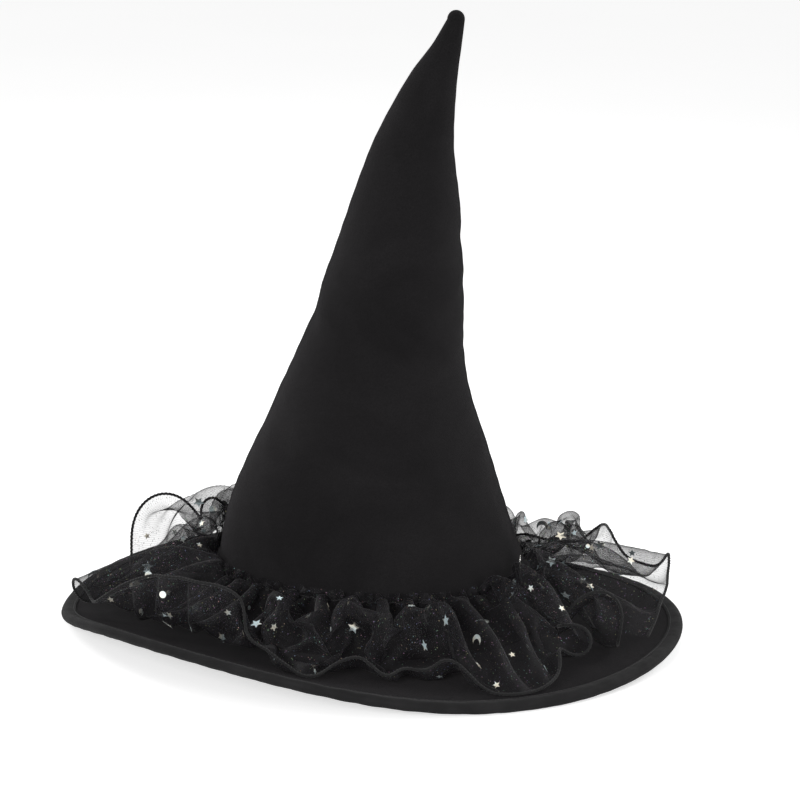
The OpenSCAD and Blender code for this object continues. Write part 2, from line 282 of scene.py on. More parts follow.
# %% Node helpers and groups
class Graph:
    """Adds shader nodes and links them, one line for each."""

    def __init__(self, tree):
        self.tree = tree

    def add(self, kind, **values):
        node = self.tree.nodes.new(kind)
        for key, value in values.items():
            setattr(node, key, value)
        return node

    def link(self, source, target):
        self.tree.links.new(source, target)

    def math(self, operation, a, b=None, clamp=False):
        node = self.add("ShaderNodeMath", operation=operation, use_clamp=clamp)
        for socket, value in zip(node.inputs, (a, b)):
            self.feed(socket, value)
        return node.outputs[0]

    def feed(self, socket, value):
        if value is None:
            return
        if isinstance(value, bpy.types.NodeSocket):
            self.link(value, socket)
        else:
            socket.default_value = value

    def noise(self, vector, scale, detail=2.0, rough=0.5, distortion=0.0):
        node = self.add("ShaderNodeTexNoise")
        self.link(vector, node.inputs["Vector"])
        self.feed(node.inputs["Scale"], scale)
        node.inputs["Detail"].default_value = detail
        node.inputs["Roughness"].default_value = rough
        node.inputs["Distortion"].default_value = distortion
        return node.outputs["Fac"]

    def range(self, value, low, high, to_low=0.0, to_high=1.0):
        node = self.add("ShaderNodeMapRange")
        for socket, v in zip(node.inputs, (value, low, high, to_low, to_high)):
            self.feed(socket, v)
        return node.outputs[0]

    def mix(self, share, a, b):
        node = self.add("ShaderNodeMix", data_type="RGBA")
        self.feed(node.inputs["Factor"], share)
        for socket, value in ((node.inputs[6], a), (node.inputs[7], b)):
            if isinstance(value, bpy.types.NodeSocket):
                self.link(value, socket)
            else:
                socket.default_value = (*value, 1)
        return node.outputs[2]

    def combine(self, x, y, z=0.0):
        node = self.add("ShaderNodeCombineXYZ")
        for socket, value in zip(node.inputs, (x, y, z)):
            self.feed(socket, value)
        return node.outputs[0]

    def split(self, vector):
        node = self.add("ShaderNodeSeparateXYZ")
        self.link(vector, node.inputs[0])
        return node.outputs


def node_group(name, inputs, outputs):
    """An empty group with named inputs and outputs. Each input is (name, kind, default)."""
    tree = bpy.data.node_groups.new(name, "ShaderNodeTree")
    for label, kind, default in inputs:
        socket = tree.interface.new_socket(label, in_out="INPUT", socket_type=kind)
        if default is not None:
            socket.default_value = default
    for label, kind in outputs:
        tree.interface.new_socket(label, in_out="OUTPUT", socket_type=kind)
    graph = Graph(tree)
    return graph, graph.add("NodeGroupInput"), graph.add("NodeGroupOutput")


FLOAT, VECTOR = "NodeSocketFloat", "NodeSocketVector"

g, given, made = node_group(
    "pile nap",
    [("Place", VECTOR, None), ("Tuft size", FLOAT, 0.0006), ("Patch size", FLOAT, 0.07)],
    [("Tufts", FLOAT), ("Patches", FLOAT)],
)
tuft_scale = g.math("DIVIDE", 1.0, given.outputs["Tuft size"])
patch_scale = g.math("DIVIDE", 1.0, given.outputs["Patch size"])
tufts = g.noise(given.outputs["Place"], tuft_scale, detail=3, rough=0.7)
patches = g.noise(given.outputs["Place"], patch_scale, detail=4, rough=0.55, distortion=0.8)
g.link(g.range(tufts, 0.3, 0.7), made.inputs["Tufts"])
g.link(g.range(patches, 0.36, 0.66), made.inputs["Patches"])
pile_nap = g.tree

g, given, made = node_group(
    "woven threads",
    [("Along", FLOAT, 0.0), ("Across", FLOAT, 0.0), ("Pitch", FLOAT, 0.0005)],
    [("Height", FLOAT), ("Gap", FLOAT)],
)
turns = g.math("DIVIDE", 2 * math.pi, given.outputs["Pitch"])
warp = g.math("SINE", g.math("MULTIPLY", given.outputs["Along"], turns))
weft = g.math("SINE", g.math("MULTIPLY", given.outputs["Across"], turns))
crossed = g.math("MULTIPLY", warp, weft)
ridges = g.math("MAXIMUM", g.math("ABSOLUTE", warp), g.math("ABSOLUTE", weft))
g.link(g.range(crossed, -1, 1), made.inputs["Height"])
g.link(g.range(ridges, 0.55, 0.95), made.inputs["Gap"])
woven_threads = g.tree

g, given, made = node_group(
    "twisted thread",
    [("Along", FLOAT, 0.0), ("Round", FLOAT, 0.0), ("Pitch", FLOAT, 0.001)],
    [("Height", FLOAT)],
)
thread_turns = g.math("DIVIDE", given.outputs["Along"], given.outputs["Pitch"])
lay = g.math("ADD", thread_turns, given.outputs["Round"])
wave = g.math("SINE", g.math("MULTIPLY", lay, 2 * math.pi))
g.link(g.range(wave, -1, 1), made.inputs["Height"])
twisted_thread = g.tree


def finish_of(name, color, roughness, **shader):
    """A material with one Principled shader. Constant values sit on its own sockets."""
    material = bpy.data.materials.new(name)
    material.use_nodes = True
    graph = Graph(material.node_tree)
    surface = material.node_tree.nodes["Principled BSDF"]
    surface.inputs["Base Color"].default_value = (*color, 1)
    surface.inputs["Roughness"].default_value = roughness
    for label, value in shader.items():
        surface.inputs[label.replace("_", " ")].default_value = value
    return material, graph, surface


def use_group(graph, tree, **given_values):
    node = graph.add("ShaderNodeGroup", node_tree=tree)
    for label, value in given_values.items():
        graph.feed(node.inputs[label.replace("_", " ")], value)
    return node.outputs


def bump(graph, surface, *layers):
    """Chains bump nodes, one for each (height, distance, strength)."""
    normal = None
    for height, distance, strength in layers:
        node = graph.add("ShaderNodeBump")
        node.inputs["Distance"].default_value = distance
        node.inputs["Strength"].default_value = strength
        graph.link(height, node.inputs["Height"])
        if normal is not None:
            graph.link(normal, node.inputs["Normal"])
        normal = node.outputs[0]
    graph.link(normal, surface.inputs["Normal"])


# %% [markdown]
# ## Cloth finishes
# Black velvet is darker than black paper: its standing pile swallows light from the front and
# only the sides of the pile catch a little, which is what the sheen is for. The binding and the
# lining are smooth weaves, so they are a touch lighter and glossier than the pile beside them.


# %% Pile cloth, binding, lining and band
def pile_cloth(name, color, brushed, tuft):
    material, graph, surface = finish_of(
        name, color, 0.95, Sheen_Weight=0.05, Sheen_Roughness=0.5, Specular_IOR_Level=0.10
    )
    surface.inputs["Sheen Tint"].default_value = (0.62, 0.58, 0.62, 1)
    place = graph.add("ShaderNodeTexCoord").outputs["Object"]
    nap = use_group(graph, pile_nap, Place=place, Tuft_size=tuft)
    clouded = graph.mix(nap["Patches"], color, brushed)
    dark = tuple(c * 0.55 for c in color)
    graph.link(graph.mix(nap["Tufts"], dark, clouded), surface.inputs["Base Color"])
    graph.link(graph.range(nap["Patches"], 0, 1, 0.97, 0.84), surface.inputs["Roughness"])
    bump(graph, surface, (nap["Tufts"], 0.0005, 0.55), (nap["Patches"], 0.0012, 0.12))
    return material


crown_velvet = pile_cloth("crown_velvet", (0.0092, 0.0086, 0.0092), (0.0140, 0.0130, 0.0139), 0.0007)
# the brim's top is the crown's velvet made darker: painted shade that offsets the light falling on it from
# above
brim_velvet_painted_shade = pile_cloth("brim_velvet_painted_shade", (0.0064, 0.0060, 0.0065), (0.0100, 0.0094, 0.0101), 0.0007)
# the brim's underside is the same velvet made lighter: painted light that lifts its shaded face
under_velvet_painted_light = pile_cloth("under_velvet_painted_light", (0.0140, 0.0132, 0.0144), (0.0200, 0.0188, 0.0205), 0.0008)


def woven_cloth(name, color, worn, roughness, pitch, depth, sheen=0.04):
    """A plain weave that follows the piece's own UV map, in metres."""
    material, graph, surface = finish_of(
        name, color, roughness, Sheen_Weight=sheen, Sheen_Roughness=0.4, Specular_IOR_Level=0.2
    )
    coordinates = graph.add("ShaderNodeTexCoord")
    along = graph.split(coordinates.outputs["UV"])
    threads = use_group(graph, woven_threads, Along=along[0], Across=along[1], Pitch=pitch)
    rubbed = graph.range(graph.noise(coordinates.outputs["Object"], 60, detail=4), 0.4, 0.7)
    base = graph.mix(rubbed, color, worn)
    between = tuple(c * 0.6 for c in color)
    graph.link(graph.mix(threads["Height"], between, base), surface.inputs["Base Color"])
    graph.link(graph.range(rubbed, 0, 1, roughness, roughness - 0.12), surface.inputs["Roughness"])
    bump(graph, surface, (threads["Height"], depth, 0.6))
    return material


binding_twill = woven_cloth(
    "binding_twill", (0.0110, 0.0106, 0.0112), (0.0170, 0.0162, 0.0172), 0.85, 0.0009, 0.0002
)
lining_satin = woven_cloth(
    "lining_satin", (0.020, 0.020, 0.022), (0.026, 0.026, 0.029), 0.48, 0.0006, 0.00008
)
band_grosgrain = woven_cloth(
    "band_grosgrain", (0.024, 0.023, 0.024), (0.036, 0.034, 0.036), 0.7, 0.0012, 0.0003
)


def thread_finish(name, color, roughness=0.55, pitch=0.0012):
    material, graph, surface = finish_of(
        name, color, roughness, Sheen_Weight=0.15, Sheen_Roughness=0.4, Specular_IOR_Level=0.4
    )
    coordinates = graph.add("ShaderNodeTexCoord")
    along = graph.split(coordinates.outputs["UV"])
    twist = use_group(graph, twisted_thread, Along=along[0], Round=along[1], Pitch=pitch)
    shade = tuple(c * 0.45 for c in color)
    graph.link(graph.mix(twist["Height"], shade, color), surface.inputs["Base Color"])
    bump(graph, surface, (twist["Height"], 0.0002, 0.5))
    return material


seam_thread = thread_finish("seam_thread", (0.026, 0.025, 0.027), 0.7)
hem_thread = thread_finish("hem_thread", (0.0055, 0.0055, 0.006), 0.85, pitch=0.0024)


def plain_grain(name, color, other, roughness, size, depth, **shader):
    """A finish for pieces inside the hat: a grain of two colours with a matching bump."""
    material, graph, surface = finish_of(name, color, roughness, **shader)
    place = graph.add("ShaderNodeTexCoord").outputs["Object"]
    grain = graph.range(graph.noise(place, 1 / size, detail=4, rough=0.65), 0.35, 0.65)
    graph.link(graph.mix(grain, color, other), surface.inputs["Base Color"])
    bump(graph, surface, (grain, depth, 0.5))
    return material


foam_finish = plain_grain("foam_finish", (0.42, 0.42, 0.39), (0.55, 0.55, 0.51), 0.9, 0.0012, 0.0006)
fibre_finish = plain_grain("fibre_finish", (0.72, 0.72, 0.70), (0.84, 0.84, 0.82), 0.95, 0.002, 0.001)
felt_finish = plain_grain("felt_finish", (0.10, 0.095, 0.09), (0.15, 0.14, 0.13), 0.9, 0.0015, 0.0005)
wire_finish = plain_grain(
    "wire_finish", (0.55, 0.55, 0.53), (0.46, 0.45, 0.43), 0.35, 0.002, 0.00005, Metallic=1.0
)

# %% [markdown]
# ## Crown
# The crown is two curved panels of velvet, seamed down the left and the right. The curve of the
# seams is what makes the hat lean. Each panel is made here as one sheet from the brim to the very
# tip. The seam draws the cloth inwards, the seam allowance under it makes a soft ridge to either
# side, and the thread puckers it a little. Columns of points crowd towards the seams, so that
# this shows.


# %% Crown panels
PILE_THICK = 1.2 * MM
PANEL_COLUMNS = 96
PANEL_ROWS = 180
DOME_STEPS = 12
SEAM_DRAWN_IN = 1.1 * MM
SEAM_RIDGE = 0.45 * MM
PUCKER = 0.16 * MM
PUCKER_LENGTH = 13 * MM
SOFT_FOLDS = [
    # direction, height, rise for each metre round, depth, half width, reach round
    (300, 0.150, 0.55, 1.5 * MM, 0.013, 0.075),
    (205, 0.186, -0.45, 1.3 * MM, 0.012, 0.060),
    (338, 0.205, 0.60, 1.1 * MM, 0.010, 0.050),
    (248, 0.094, -0.30, 1.1 * MM, 0.016, 0.070),
    (75, 0.160, -0.50, 1.5 * MM, 0.013, 0.080),
    (130, 0.110, 0.35, 1.2 * MM, 0.015, 0.070),
    (25, 0.235, -0.60, 1.0 * MM, 0.009, 0.045),
]


def crowded(count, crowding=0.8):
    """Steps from 0 to 1 that crowd towards both ends."""
    t = np.linspace(0, 1, count)
    return t - crowding * np.sin(2 * np.pi * t) / (2 * np.pi)


def crown_field(degrees, z, radius, lean):
    """How far the velvet stands out from the plain shape: dents, seams and puckers."""
    plain = round_points(radius, degrees, z, lean)
    out = 1.0 * MM * soft_noise(plain, 0.075, 1) + 0.35 * MM * soft_noise(plain, 0.022, 2)
    for direction, height, rise, depth, half, reach in SOFT_FOLDS:
        round_it = radius * np.radians((degrees - direction + 180) % 360 - 180)
        off = (z - height - rise * round_it) / half
        fade = np.exp(-((round_it / reach) ** 2))
        out = out + depth * fade * (0.45 * np.exp(-((off - 1.4) ** 2)) - np.exp(-(off**2)))
    from_seam = radius * np.abs(np.arcsin(np.sin(np.radians(degrees))))
    drawn = np.exp(-((from_seam / (1.5 * MM)) ** 2))
    ridge = np.exp(-(((from_seam - 4.2 * MM) / (2.8 * MM)) ** 2))
    wave = np.sin(2 * np.pi * z / PUCKER_LENGTH + 3 * soft_noise(plain, 0.03, 3))
    out = out - SEAM_DRAWN_IN * drawn + SEAM_RIDGE * ridge
    out = out + PUCKER * wave * np.exp(-from_seam / (9 * MM)) * (1 - drawn)
    foot = np.clip((z - crown_base) / (14 * MM), 0, 1)
    return out * np.clip(radius / (40 * MM), 0.2, 1) * foot


def crown_sheet(degrees, inset, z):
    """Points of a layer of the crown, inset from the outer surface."""
    lean, radius = crown_at(z[:, None])
    degrees = degrees[None, :]
    out = crown_field(degrees, z[:, None], radius, lean)
    return round_points(radius + out - inset, degrees, z[:, None], lean)


def crown_dome(degrees, inset):
    """The rounded top of a layer, carried on from its last row."""
    rise = np.radians(np.linspace(0, 90, DOME_STEPS + 1)[1:])[:, None, None]
    lean, radius = crown_at(np.array([dome_z]))
    middle = np.array([lean[0], 0, dome_z])
    rim = crown_sheet(degrees, inset, np.array([dome_z])) - middle
    upward = (radius[0] - inset) * np.sin(rise) * np.array([0, 0, 1.0])
    return middle + rim * (np.cos(rise) + 0.004) + upward


def crown_panel(name, first, last):
    gap = 0.08
    degrees = first + gap + (last - first - 2 * gap) * crowded(PANEL_COLUMNS)
    z = np.linspace(crown_base, dome_z, PANEL_ROWS)
    outer, inner = (
        np.concatenate([crown_sheet(degrees, inset, z), crown_dome(degrees, inset)])
        for inset in (0.0, PILE_THICK)
    )
    piece = thick_sheet(name, outer[::-1], inner[::-1], False, crown_velvet)
    print(name, triangles(piece), "triangles")
    return piece


def bends(piece):
    """Bakes the piece's placement into its mesh. The piece crosses the bend, but nothing here makes it follow
    the tip.
    """
    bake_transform(piece)
    return piece


def flat_size(piece):
    """Area in square metres of one side of a thick sheet, measured on its finished mesh."""
    mesh = piece.data
    return sum(p.area for p in mesh.polygons) / 2


def crown_cut(inset, z_low, z_high, first, last):
    """Area in square metres of the flat cloth cut for part of the crown. It comes from the plain
    profile and its lean, without dents, seams or puckers, so the mesh can be checked against it."""
    z = np.linspace(z_low, z_high, 300)
    lean, radius = crown_at(z)
    around = np.radians(np.linspace(first, last, 121))
    middle = (around[1:] + around[:-1])[:, None] / 2
    slant = np.hypot(np.diff(z), np.diff(radius) + np.diff(lean) * np.cos(middle))
    width = (radius[1:] + radius[:-1]) / 2 - inset
    return float((slant * width * np.diff(around)[:, None]).sum())


def compare_cut(piece, cut):
    """Print how the finished mesh compares with the cloth it was cut from."""
    found = flat_size(piece)
    print(piece.name, "cut", round(cut, 4), "m2, mesh", round(found, 4), "m2, share", round(found / cut, 3))


crown_back = crown_panel("crown_back_cloth", 180, 360)
crown_front = crown_panel("crown_front_cloth", 0, 180)
for piece, first, last, replaced in (
    (crown_back, 180, 360, ("crown_back_panel", "tip_back_panel")),
    (crown_front, 0, 180, ("crown_front_panel", "tip_front_panel")),
):
    bends(piece)
    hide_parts(*replaced)
    cut = crown_cut(0.0, crown_base, dome_z, first, last)
    compare_cut(piece, cut)

# %% [markdown]
# ## Inside the crown
# A sheet of foam behind the velvet makes the crown stand by itself. Above the head a wad of
# fibre fills the narrow part up to the tip, and a thin lining closes it off from below. All of
# them cross the bend, though none of them is bent here.

# %% Foam, fibre and lining
FOAM_FROM, FOAM_THICK = 1.5 * MM, 1.9 * MM
LINING_FROM, LINING_THICK = 3.7 * MM, 0.45 * MM
ring_degrees = np.arange(0, 360, 4.0)


def inner_layer(name, inset, thick, z_low, z_high, rows, material, close_top):
    """A ring-shaped layer under the velvet. close_top gathers its upper end to a point."""
    z = np.linspace(z_low, z_high, rows)
    grids = []
    for depth in (inset, inset + thick):
        grid = crown_sheet(ring_degrees, depth, z)
        if close_top:
            share = np.linspace(0.94, 0.03, 9)[:, None]
            lean, radius = crown_at(z[-1:])
            height = z_high + (1 - share) * 14 * MM - (depth - inset)
            top = round_points((radius - depth) * share, ring_degrees[None, :], height, lean)
            grid = np.concatenate([grid, top])
        grids.append(grid)
    return thick_sheet(name, grids[0][::-1], grids[1][::-1], True, material)


foam = inner_layer(
    "crown_foam", FOAM_FROM, FOAM_THICK, crown_base, dome_z - 2 * MM, 110, foam_finish, False
)
bends(foam)
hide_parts("crown_interlining", "tip_interlining")

lining_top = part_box("crown_lining")[1][2]
lining = inner_layer(
    "crown_lining_cloth", LINING_FROM, LINING_THICK, crown_base, lining_top - 22 * MM, 90, lining_satin, True
)
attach(lining, "crown")
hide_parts("crown_lining")
lining_end = lining_top - 22 * MM
end_radius = crown_at(np.array([lining_end]))[1][0] - LINING_FROM
lining_cut = crown_cut(LINING_FROM, crown_base, lining_end, 0, 360)
lining_cut += math.pi * end_radius * math.hypot(end_radius, 14 * MM)
compare_cut(lining, lining_cut)

wad_z = np.linspace(lining_top - 2 * MM, dome_z - 4 * MM, 46)
wad_lean, wad_radius = crown_at(wad_z)
end_round = np.sqrt(np.clip(1 - np.abs(np.linspace(-1, 1, 46)) ** 8, 0.0, 1))
wad_degrees = np.arange(0, 360, 10.0)
wad_size = (wad_radius - 5.6 * MM).clip(0.6 * MM) * end_round + 0.3 * MM
wad = round_points(wad_size[:, None], wad_degrees[None, :], wad_z[:, None], wad_lean[:, None])
wad = wad * (1 + 0.02 * soft_noise(wad, 0.012, 5)[..., None] * np.array([1, 1, 0]))
fibre = ring_tube("crown_fibre_wad", wad, fibre_finish, closed=False)
bends(fibre)
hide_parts("crown_stuffing", "tip_stuffing")

# %% [markdown]
# ## Brim
# The brim is a felt board with velvet glued to both faces and a wire round its edge. The velvet
# lies a little wavy on the board, because glue never holds it everywhere. A folded strip of twill
# binds the edge over the wire.

# %% Brim cloths
BRIM_COLUMNS, BRIM_ROWS = 288, 40


def brim_sheet(name, low, high, material, seed, r_from, r_to):
    """A layer of the brim between two heights above its middle."""
    degrees = np.linspace(0, 360, BRIM_COLUMNS, endpoint=False)[None, :]
    r = np.linspace(r_from, r_to, BRIM_ROWS)[:, None]
    level = round_points(r, degrees, 0 * r)
    fade = np.clip((r - r_from) / (12 * MM), 0, 1) * np.clip((r_to - r) / (10 * MM), 0, 1)
    broad, small = soft_noise(level, 0.045, seed), soft_noise(level, 0.016, seed + 1)
    ripple = fade * (0.35 * MM * broad + 0.18 * MM * small)
    faces = []
    for height, give in ((high, 1.0), (low, 0.0)):
        away = np.sign(high + low) * np.abs(ripple) * give
        faces.append(round_points(r, degrees, brim_z(r, degrees) + height + away))
    if high + low > 0:
        return thick_sheet(name, faces[0], faces[1], True, material)
    return thick_sheet(name, faces[1][::-1], faces[0][::-1], True, material)


under_low, under_high = layer_of("brim_under_cloth")
cloth_end = np.hypot(*node_points("brim_top_cloth")[:, :2].T).max()
cloth_start = hole_r + 0.3 * MM
brim_top = brim_sheet(
    "brim_top_velvet", top_cloth_low, top_cloth_high, brim_velvet_painted_shade, 11, cloth_start, cloth_end
)
brim_under = brim_sheet(
    "brim_under_velvet", under_high, under_low, under_velvet_painted_light, 13, cloth_start, cloth_end
)
for piece, replaced in ((brim_top, "brim_top_cloth"), (brim_under, "brim_under_cloth")):
    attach(piece, "crown")
    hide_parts(replaced)
    brim_cut = math.pi * (cloth_end**2 - cloth_start**2)
    print(piece.name, triangles(piece), "triangles")
    compare_cut(piece, brim_cut)

# %% [markdown]
# ## Binding
# The binding is a strip of twill folded round the edge. The needle pulls it down along its inner
# side, so it swells a little between the stitching and the edge, and it wrinkles across its width
# because the outer edge is longer than the inner one.

# %% Binding
BINDING_WIDTH = 9 * MM
TWILL = 0.55 * MM
binding_degrees = np.linspace(0, 360, 900, endpoint=False)
# (distance from the edge, height above the middle) of the outer side, from top to underside
binding_shape = [
    (9.0, 2.75), (8.2, 2.95), (7.4, 2.9), (6.2, 3.1), (4.6, 3.3), (3.0, 3.25), (1.6, 2.75), (0.6, 1.8),
    (0.08, 0.8),
]
binding_shape = np.array(binding_shape + [(a, -b) for a, b in binding_shape[::-1]]) * MM
binding_steps = np.linspace(0, 1, 30)
shape_at = curve_through(np.linspace(0, 1, len(binding_shape)), binding_shape, binding_steps)


def binding_surface(inward):
    """Grid of the folded strip, moved inward by its thickness."""
    away, height = shape_at[:, 0][:, None], shape_at[:, 1][:, None]
    degrees = binding_degrees[None, :]
    flat = round_points(brim_r + 0 * away, degrees, 0 * away)
    wrinkle = np.sin(degrees * 1.05 * (1 + 0 * away) + 2.2 * soft_noise(flat, 0.05, 21))
    fine = soft_noise(flat, 0.0042, 22)
    tight = np.clip((away - 0.4 * MM) / (2 * MM), 0, 1) * np.clip((9.4 * MM - away) / (3 * MM), 0, 1)
    swell = (0.12 * MM * wrinkle + 0.16 * MM * fine) * tight
    side = np.sign(height) * np.clip(np.abs(height) / (1.5 * MM), 0, 1)
    radius = brim_r - away - inward * np.clip(1.2 - away / (2 * MM), 0, 1)
    inner = np.clip(np.abs(height) - inward, 0, None)
    return round_points(radius, degrees, brim_z(radius, degrees) + side * (inner + swell * (inward == 0)))


binding = thick_sheet(
    "brim_edge_binding", binding_surface(0.0)[::-1], binding_surface(TWILL)[::-1], True, binding_twill
)


def metre_uv(piece, across, along, half):
    """A UV map in metres for a thick sheet: along runs with the columns, across with the rows."""
    cols = len(along)
    layer = piece.data.uv_layers.new(name="UVMap")
    spots = np.empty(len(piece.data.loops), dtype=int)
    piece.data.loops.foreach_get("vertex_index", spots)
    row, col = (spots % half) // cols, (spots % half) % cols
    uv = np.stack([np.asarray(along)[col], np.asarray(across)[row]], axis=1)
    layer.data.foreach_set("uv", uv.ravel())


edge_length = 2 * math.pi * brim_r
binding_along = np.linspace(0, edge_length, len(binding_degrees))
binding_across = np.linspace(0, 2 * BINDING_WIDTH, len(binding_steps))
metre_uv(binding, binding_across, binding_along, len(binding_across) * len(binding_along))
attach(binding, "crown")
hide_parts("brim_binding")
unfolded = float(np.hypot(*np.diff(shape_at, axis=0).T).sum())
print(binding.name, triangles(binding), "triangles, unfolded width", round(unfolded, 4), "m")
compare_cut(binding, unfolded * edge_length)

# %% [markdown]
# ## Ruffle: the hem's path
# The ruffle is one strip of organza, about 1.6 m long and 99 mm wide. Its upper side is gathered
# onto the foot of the crown, so it is more than twice as long as the place it is sewn to. All of that extra
# length ends up in the hem, which has to wave and curl over the brim. The hem's path is described
# first, as places that it passes: direction, distance from the middle and height. The cloth is
# then hung between the gathers and that path.

# %% Hem path
STRIP_LENGTH = 1.6 * MM * 988
HEAD_START, HEAD_END = -18.0, -386.0
hem_places = [
    # over the right of the brim: two curls
    (-24, 160, 14), (-29, 166, 16), (-31, 169, 24), (-29, 172, 31), (-28, 173, 41), (-27, 169, 51),
    (-28, 160, 56), (-30, 149, 53), (-32, 141, 42), (-36, 138, 30), (-44, 152, 35), (-43, 166, 43),
    (-41, 175, 38), (-40, 178, 28), (-41, 173, 20), (-44, 163, 18), (-47, 159, 24), (-49, 160, 34),
    # a long low sweep at the front right
    (-49, 170, 18), (-54, 178, 13), (-57, 180, 10), (-64, 180, 9), (-68, 177, 9), (-70, 170, 14),
    (-70, 160, 20), (-71, 148, 25), (-73, 142, 24),
    # shallow waves at the front
    (-76, 148, 18), (-80, 149, 17), (-84, 151, 18), (-86, 160, 14), (-89, 152, 19), (-93, 146, 23),
    (-97, 150, 21), (-102, 170, 15), (-106, 166, 20), (-113, 158, 26), (-119, 152, 32),
    # an upturned edge at the front left
    (-118, 153, 44), (-120, 152, 54), (-124, 155, 58), (-129, 160, 59), (-134, 163, 59),
    (-140, 166, 57), (-145, 170, 52), (-149, 175, 44), (-152, 180, 34), (-155, 182, 30),
    # two loops at the far left, the second one high
    (-160, 183, 36), (-164, 187, 38), (-167, 188, 30), (-169, 183, 19), (-172, 172, 14),
    (-176, 165, 20), (-197, 158, 29), (-198, 163, 43), (-200, 163, 58), (-202, 155, 66),
    (-205, 143, 69), (-207, 132, 65), (-207, 127, 54), (-214, 132, 44), (-216, 137, 55),
    (-219, 134, 57), (-222, 128, 50), (-229, 150, 48),
    # waves round the far side
    (-233, 164, 38), (-236, 172, 26), (-241, 170, 17), (-246, 158, 22), (-249, 148, 36),
    (-252, 146, 48), (-257, 152, 54), (-261, 161, 46), (-264, 170, 34), (-268, 175, 22),
    (-273, 170, 16), (-278, 158, 22), (-281, 148, 32), (-285, 144, 42), (-290, 150, 46),
    (-294, 160, 38), (-297, 169, 27), (-302, 166, 19), (-307, 150, 24),
    # the right again, and the free end that laps over the start
    (-312, 134, 35), (-316, 138, 36), (-320, 145, 34), (-325, 148, 35), (-330, 151, 41),
    (-335, 153, 50), (-339, 153, 55), (-343, 154, 52), (-347, 158, 43), (-353, 165, 41),
    (-357, 172, 42), (-362, 176, 50), (-364, 178, 58), (-367, 179, 53), (-372, 180, 46),
    (-379, 181, 38), (-387, 184, 24),
]
hem_known = np.array(hem_places, float)
hem_corners = round_points(hem_known[:, 1] * MM, hem_known[:, 0], hem_known[:, 2] * MM)


def length_along(points):
    """Distance travelled at each point of a path."""
    steps = np.linalg.norm(np.diff(points, axis=0), axis=1)
    return np.concatenate([[0], np.cumsum(steps)])


def even_steps(points, count):
    """The same path with evenly spaced points."""
    travelled = length_along(points)
    wanted = np.linspace(0, travelled[-1], count)
    return np.stack([np.interp(wanted, travelled, points[:, k]) for k in range(points.shape[1])], axis=1)


rough = length_along(hem_corners)
with_angle = np.concatenate([hem_corners, hem_known[:, :1]], axis=1)
hem_smooth = curve_through(rough, with_angle, np.linspace(0, rough[-1], 4000))
print("hem path", round(length_along(hem_smooth[:, :3])[-1], 3), "m for a strip of", STRIP_LENGTH, "m")

# %% [markdown]
# ## Ruffle: hanging the cloth
# The cloth is a grid of points with known distances between neighbours, as threads have. It
# starts as a rough curved surface between the gathers and the hem. Then it is relaxed: again and
# again each pair of neighbours is moved back to its own distance, and the cloth is kept off the
# brim and the crown. Since cloth can't shrink, what is too long buckles into folds by itself. It
# is done on a coarse grid first and then on a fine one, because big folds settle faster that way.


# %% Relax the cloth
SPACING = 1.6 * MM
FRILL = 6.4 * MM
FINE_ROWS, FINE_COLUMNS = 63, 989
HEADING_Z = 42 * MM
GATHERS = 120
brim_clear = top_cloth_high + 1.1 * MM
rim_table = rim_z(np.arange(0, 361, 1.0))
wall_z = np.linspace(crown_base, 0.12, 60)
wall_lean, wall_radius = crown_at(wall_z)


def keep_clear(points):
    """Moves points off the brim and the crown."""
    x, y, z = points[..., 0], points[..., 1], points[..., 2]
    r = np.hypot(x, y)
    spot = np.degrees(np.arctan2(y, x)) % 360
    low = spot.astype(int)
    rim = rim_table[low] + (spot - low) * (rim_table[low + 1] - rim_table[low])
    share = np.clip((r - hole_r) / (brim_r - hole_r), 0, 1) ** 2
    floor = seat_z + (rim - seat_z) * share + brim_clear
    points[..., 2] = np.maximum(z, floor)
    lean = np.interp(z, wall_z, wall_lean)
    wall = np.interp(z, wall_z, wall_radius) + 0.9 * MM
    from_middle = np.hypot(x - lean, y)
    push = np.maximum(wall / np.maximum(from_middle, MM), 1)
    points[..., 0] = lean + (x - lean) * push
    points[..., 1] = y * push
    too_far = np.maximum(np.hypot(points[..., 0], points[..., 1]) / (brim_r + 1.5 * MM), 1)
    points[..., 0] /= too_far
    points[..., 1] /= too_far


def families(rows, cols, gap, soft):
    """All families of neighbour pairs for one grid: threads, diagonals and bending."""
    made = []
    for start in (0, 1):
        made.append(pull_pairs(rows, cols, 0, 1, gap, 1.0, start))
        made.append(pull_pairs(rows, cols, 1, 0, gap, 1.0, start))
        made.append(pull_pairs(rows, cols, 1, 1, gap * 2**0.5, 0.25, start))
        made.append(pull_pairs(rows, cols, 1, -1, gap * 2**0.5, 0.25, start))
        made.append(pull_pairs(rows, cols, 0, 2, gap * 2, soft, start))
        made.append(pull_pairs(rows, cols, 2, 0, gap * 2, soft, start))
        made.append(pull_pairs(rows, cols, 0, 4, gap * 4, soft * 0.5, start))
        made.append(pull_pairs(rows, cols, 4, 0, gap * 4, soft, start))
    return made


def pull_pairs(rows, cols, down, along, length, stiffness, start):
    """Index pairs a step apart. Within a family no point is used twice along the step."""
    grid = np.arange(rows * cols).reshape(rows, cols)
    reach = abs(along)
    if reach:
        columns = np.arange(cols - reach)
        columns = columns[(columns // reach) % 2 == start]
        if along > 0:
            a, b = grid[: rows - down, columns], grid[down:, columns + reach]
        else:
            a, b = grid[: rows - down, columns + reach], grid[down:, columns]
    else:
        lines = np.arange(rows - down)
        lines = lines[(lines // down) % 2 == start]
        a, b = grid[lines], grid[lines + down]
    return a.ravel(), b.ravel(), length, stiffness


